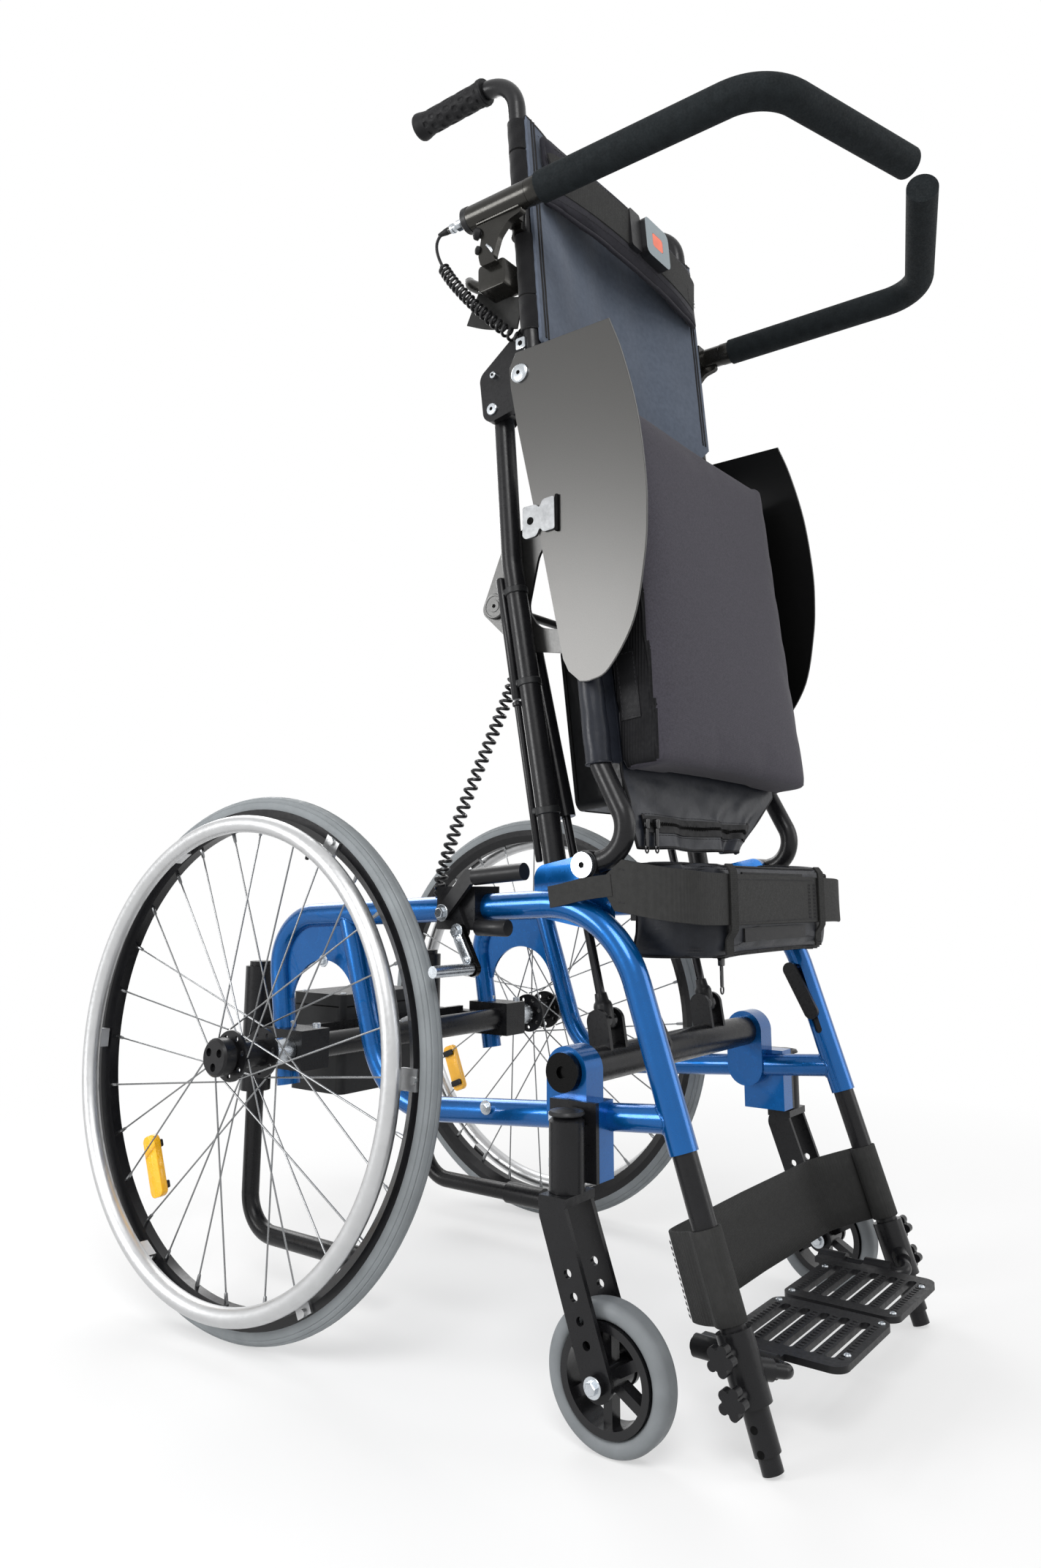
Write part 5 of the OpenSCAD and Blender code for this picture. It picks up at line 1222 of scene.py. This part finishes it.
# Gas springs: ball joint sockets at the foot and a seal where the rod enters
GAS_FOOT = Vector((0, -396, 347))
way = (GAS_HEAD - GAS_FOOT).normalized()
balls, seals = Build(), Build()
for x in (-130, 94):
    low, high = GAS_FOOT + X * x, GAS_HEAD + X * x
    balls.turned(low - way * 9, way, [(6, 0), (9, 2), (10.2, 5), (10.2, 25), (9.2, 28), (7.4, 30),
                                      (6.4, 38)], 24)
    seals.turned(high - way * 34, way, [(8, 0), (9.6, 2), (9.6, 14), (11.4, 16), (11.4, 20)], 24)
balls.make("gas_rod_sockets", lever, "gas_rods")
seals.make("gas_head_collars", lever, "gas_cylinders")

# Release rod in its tube, held behind the near link bar
LINK_X, LINK_R = 164, 12.5
LINK_BEND = LINK_FOOT + (LINK_HEAD - LINK_FOOT) * 0.66 + Y * LINK_R


def by_link(s):
    return lerp(LINK_FOOT, LINK_BEND, s) + Vector((-LINK_X - 4, LINK_R + 5.5, 0))


release = Build().tube([by_link(s) for s in (0.05, 0.055, 0.3, 0.53)], [3.2, 4, 4, 4], 14)
release.tube([by_link(s) for s in (0.525, 0.53, 0.54, 0.545)], [3, 6, 6, 3], 14)
release.tube([by_link(s) for s in (0.55, 0.555, 0.75, 0.945, 0.95)], [4.4, 5.4, 5.4, 5.4, 4.4], 14)
release.make("release_rod", tube, "links", 40)
clips = Build()
link_way = (LINK_BEND - LINK_FOOT).normalized()
for s in (0.2, 0.6, 0.9):
    q = lerp(LINK_FOOT, LINK_BEND, s) - X * LINK_X
    clips.turned(q - link_way * 4, link_way, [(13.2, 0), (14, 0.8), (14, 7.2), (13.2, 8)], 28)
    clips.block(q + Vector((-3, 14, 0)), X, link_way, (9, 8, 9), 2, 0.8)
clips.make("release_rod_clips", box, "links")

# Brakes: pivot bolts, a spacer in front of each clamp and the zinc strap of each shoe
bits, spacer = Build(), Build()
for y, z, d in ((-252, 459, 10), (-274, 440, 9)):
    bits.bolt((231.2, y, z), X, d, 5, 1.4)
bits.mirrored().make("brake_bolts", zinc, "chassis")
spacer.turned((214, -288.5, 444), -Y, [(8.4, 0), (9, 0.8), (9, 40), (8.2, 41.4), (3, 41.8)], 28)
spacer.mirrored().make("brake_spacers", lever, "chassis")


def shoe_strap():
    a, b = Vector((233, -278, 432)), Vector((233, -290, 411))
    build = Build()
    way = (b - a).normalized()
    build.block((a + b) / 2, way, X.cross(way), (36, 12, 3), 5.8, 0.5)
    for p in (a, b):
        build.turned(p + X * 1.4, X, [(3.6, 0), (3.6, 1.2), (2.4, 2.4), (0.8, 2.7)], 18)
    return build


both(shoe_strap, "brake_strap", zinc, "brake_arm")

# Casters: axle bolts and stem caps
CASTER = Vector((247, -474, 62.9))


def caster_bolts():
    build = Build()
    for s in (-1, 1):
        build.bolt(CASTER + X * s * 30, X * s, 10, 4, 1.4)
    return build


both(caster_bolts, "caster_axle_bolts", zinc, "caster_swivel")
caps = Build().turned((CASTER.x, -427, 276), Z,
                      [(17, -0.6), (17.4, 0.6), (16, 3), (8, 4.4), (1, 4.8)], 28)
caps.mirrored().make("caster_stem_caps", box, "chassis")

# Front legs: adjusting holes in the outer sides, drawn as dark discs: painted shade of the holes
holes = Build()
for up in (-201, -219, -237):
    holes.turned(on_leg(FRAME_X + 11.0, 0, up), X, [(3.4, -0.6), (3.4, 0.9), (2.8, 0.95)], 16)
holes.mirrored().make("leg_holes", black_trim_and_painted_recess_shade, "legs")

# Footplates: gritty bands between the slots, and screws
PLATE_IN, PLATE_W, PLATE_Y, PLATE_L, PLATE_TOP, PLATE_SLOTS = 4, 132, -643, 122, 72, 5


def plate_grit():
    build = Build()
    for k in range(PLATE_SLOTS + 1):
        y = PLATE_Y + PLATE_L * (k + 0.5) / (PLATE_SLOTS + 1)
        for i in range(14):
            x = PLATE_IN + PLATE_W * (0.16 + 0.68 * i / 13)
            build.block((x, y, PLATE_TOP), X, Y, (3.2, 5.4, 1.4), 1, 0.4)
    return build


def plate_screws():
    build = Build()
    for x in (PLATE_IN + 12, PLATE_IN + PLATE_W - 30):
        for y in (PLATE_Y + 8, PLATE_Y + PLATE_L - 8):
            build.turned((x, y, PLATE_TOP), Z,
                         [(3.6, -0.2), (3.6, 0.6), (2.6, 1.6), (1.4, 1.6), (1.4, 0.8)], 16)
    return build


both(plate_grit, "footplate_grit", foot, "footplate")
both(plate_screws, "footplate_screws", zinc, "footplate")


def box_trim(name, body, place, x, y, outs, cut, r, inset, top, axis):
    """Seams round a box at each height of outs, and four screws on its face at top."""
    lid, screws = Build(), Build()
    (x0, x1), (y0, y1) = x, y
    corner = ((x0 + cut, y0), (x1 - cut, y0), (x1, y0 + cut), (x1, y1 - cut),
              (x1 - cut, y1), (x0 + cut, y1), (x0, y1 - cut), (x0, y0 + cut))
    # Each seam is a near-black line round the box: painted shade of the gap at the lid.
    for out in outs:
        lid.tube([place(a, b, out) for a, b in corner], r, 8, closed=True)
    lid.make(f"{name}_seam", black_trim_and_painted_recess_shade, body, 60)
    head = [(4, -0.4), (4, 0.8), (3, 1.8), (1.6, 1.8), (1.6, 0.9)]
    for a in (x0 + inset, x1 - inset):
        for b in (y0 + inset, y1 - inset):
            screws.turned(place(a, b, top), axis, head, 16)
    screws.make(f"{name}_screws", zinc, body)


# Boxes: lid seams drawn as dark lines of painted shade, and screws
lo, hi = (from_part(v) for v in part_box("control_box"))
box_trim("control_box", "chassis", lambda *p: Vector(p), (lo.x, hi.x), (lo.y, hi.y), (hi.z - 16,),
         9, 0.9, 12, hi.z, Z)
BOX_X, BOX_UP, BOX_OUT0, BOX_OUT1 = (-110, 50), (-30, 166), -95.3, -11.3
box_trim("power_box", "seat", on_seat, BOX_X, BOX_UP, (BOX_OUT0 + 5, BOX_OUT1 - 18),
         12, 1.0, 16, BOX_OUT0, -SEAT_OUT)

# Armrests: end caps, collars, threaded connector, and the bracket with its knobs under each housing
ARM_X, ARM_Z, ARM_END, ARM_MOUTH = 239, 1270, -282, -376
caps = Build().turned((ARM_X, ARM_END - 8, ARM_Z), Y,
                      [(15.1, 0), (15.7, 0.6), (15.7, 7.4), (14.4, 8.8), (6, 9.2)], 36)
caps.mirrored().make("arm_end_caps", box, "back")


def arm_collar():
    profile = [(15.2, 0), (15.6, 0.5), (15.6, 14.6), (15.2, 15.4)]
    return Build().turned((ARM_X, ARM_MOUTH - 0.5, ARM_Z), -Y, profile, 36)


both(arm_collar, "arm_collar", gloss, "arm")
profile = [(6.4, 0)]
for k in range(9):
    profile += [(6.4, 1 + k * 1.6), (5.6, 1.6 + k * 1.6)]
profile += [(4.9, 16), (4.9, 20), (5.8, 20.6), (5.8, 24), (4.4, 25.4), (3.6, 31)]
Build().turned((-ARM_X, ARM_END + 0.5, ARM_Z), Y, profile, 24).make("arm_connector", zinc, "back")
BRACKET = ((-298, 1257), (-366, 1257), (-367, 1249), (-348, 1245), (-333, 1230), (-325, 1206),
           (-330, 1200), (-306, 1200), (-302, 1214), (-307, 1238))
bracket = cut_plate(rounded(BRACKET, 5), ARM_X - 4, ARM_X + 4)
bead = [Vector((ARM_X + 4.6, y, 1256.6)) for y in steps(-300, -364, 40)]
bracket.tube(bead, [1.5 + 0.5 * (i % 2) for i in range(len(bead))], 8)
bracket.block((219, -316, 1190), Y, Z, (40, 34, 32), 5, 1.2)
elbow = curve([(214, -300, 1190), (214, -284, 1194), (212, -268, 1204), (206, -258, 1214)], 8)
bracket.tube(elbow, [7.5] * (len(elbow) - 1) + [6.2], 18)
bracket.mirrored().make("arm_brackets", gloss, "back", 34)
knobs = Build()
knob_way = Vector((0.75, 0.62, 0.1))
for z, r in ((1243, 7.2), (1222, 5.2)):
    profile = [(0.5 * r, -6), (0.6 * r, 0), (r, 1.5), (r, 0.7 * r), (0.86 * r, r),
               (0.4 * r, 1.2 * r)]
    knobs.turned((ARM_X + 2, -304, z), knob_way, profile, 22)
knobs.mirrored().make("arm_knobs", grip, "back")
clip = Build().tube([(ARM_X + 4, -316, 1224), (ARM_X + 5, -322, 1217), (ARM_X + 1, -324, 1211)],
                    [2, 2.2, 1.6], 10)
clip.mirrored().make("arm_clips", zinc, "back")
tab = curve([(203, -335, 1150), (205, -318, 1154), (204, -290, 1164), (203, -262, 1178)], 6)
Build().strap(tab, Z, 40, 2.4).mirrored().make("cane_straps", webbing, "back", 60)

# Stage: pale floor, soft studio light and white surroundings
FLOOR_HALF = 9000
corners = ((-1, -1), (1, -1), (1, 1), (-1, 1))
floor = Build().add([(x * FLOOR_HALF, y * FLOOR_HALF, 0) for x, y in corners], [(0, 1, 2, 3)])
floor_look = Look("floor", None, (0.88, 0.88, 0.88), 0.7, 0, 0.01, 2, Specular_IOR_Level=0.1)


def seen_rays(tree):
    """1 for rays that come straight from the camera, a mirror or glass."""
    rays = tree.nodes.new("ShaderNodeLightPath")
    seen = rays.outputs["Is Camera Ray"]
    for kind in ("Is Glossy Ray", "Is Transmission Ray"):
        more = tree.nodes.new("ShaderNodeMath")
        more.operation = "MAXIMUM"
        tree.links.new(seen, more.inputs[0])
        tree.links.new(rays.outputs[kind], more.inputs[1])
        seen = more.outputs[0]
    return seen


SHADE_SHARE, SHADE_NEAR, SHADE_FAR = 0.48, 0.6, 1.6
away = floor_look.node("ShaderNodeVectorMath", operation="LENGTH")
floor_look.link(floor_look.place, away.inputs[0])
whiten = floor_look.span(away.outputs["Value"], (SHADE_NEAR, SHADE_FAR), (1 - SHADE_SHARE, 1))
mix = floor_look.node("ShaderNodeMixShader")
floor_look.link(floor_look.maths("MULTIPLY", whiten, seen_rays(floor_look.tree)), mix.inputs[0])
floor_look.link(floor_look.shader.outputs[0], mix.inputs[1])
floor_look.link(floor_look.node("ShaderNodeEmission").outputs[0], mix.inputs[2])
floor_look.link(mix.outputs[0], floor_look.tree.nodes["Material Output"].inputs["Surface"])
floor.make("floor", floor_look)


def lamp(name, place, aim, size, watts):
    light = bpy.data.lights.new(name, "AREA")
    light.shape, light.size, light.energy = "DISK", size, watts
    obj = bpy.data.objects.new(name, light)
    obj.location = place
    obj.rotation_euler = (Vector(aim) - Vector(place)).to_track_quat("-Z", "Y").to_euler()
    scene.collection.objects.link(obj)


# Place, aim, size across and power of each lamp
lamp("key", (-2.4, -1.6, 3.0), (0, -0.1, 0.7), 1.8, 80)
lamp("fill", (1.6, -3.0, 1.6), (0, -0.2, 0.7), 2.2, 34)
lamp("back", (1.2, 2.4, 2.6), (0, 0, 0.8), 2.0, 50)
lamp("left", (-2.6, 1.4, 1.15), (-0.2, -0.2, 0.8), 1.2, 46)

AMBIENT = 0.4
world = bpy.data.worlds.new("studio")
scene.world = world
world.use_nodes = True
tree = world.node_tree
background = tree.nodes["Background"]
strength = tree.nodes.new("ShaderNodeMapRange")
strength.inputs["To Min"].default_value = AMBIENT
strength.inputs["To Max"].default_value = 1.0
tree.links.new(seen_rays(tree), strength.inputs["Value"])
tree.links.new(strength.outputs["Result"], background.inputs["Strength"])
background.inputs["Color"].default_value = (1, 1, 1, 1)

# Camera, solved from the photograph
CAMERA = (-1.1281, -1.0463 + AXLE_Y * MM, 0.4840)
YAW, PITCH, LENS, SHIFT = radians(53.48), radians(10.71), 24.805, (-0.01146, -0.0632)
camera = bpy.data.objects.new("camera", bpy.data.cameras.new("camera"))
camera.data.sensor_fit, camera.data.sensor_height = "VERTICAL", 36
camera.data.lens = LENS
camera.data.shift_x, camera.data.shift_y = SHIFT
camera.location = CAMERA
level = cos(PITCH)
look_way = Vector((sin(YAW) * level, cos(YAW) * level, sin(PITCH)))
camera.rotation_euler = look_way.to_track_quat("-Z", "Y").to_euler()
scene.collection.objects.link(camera)
scene.camera = camera
scene.view_settings.view_transform = "Standard"
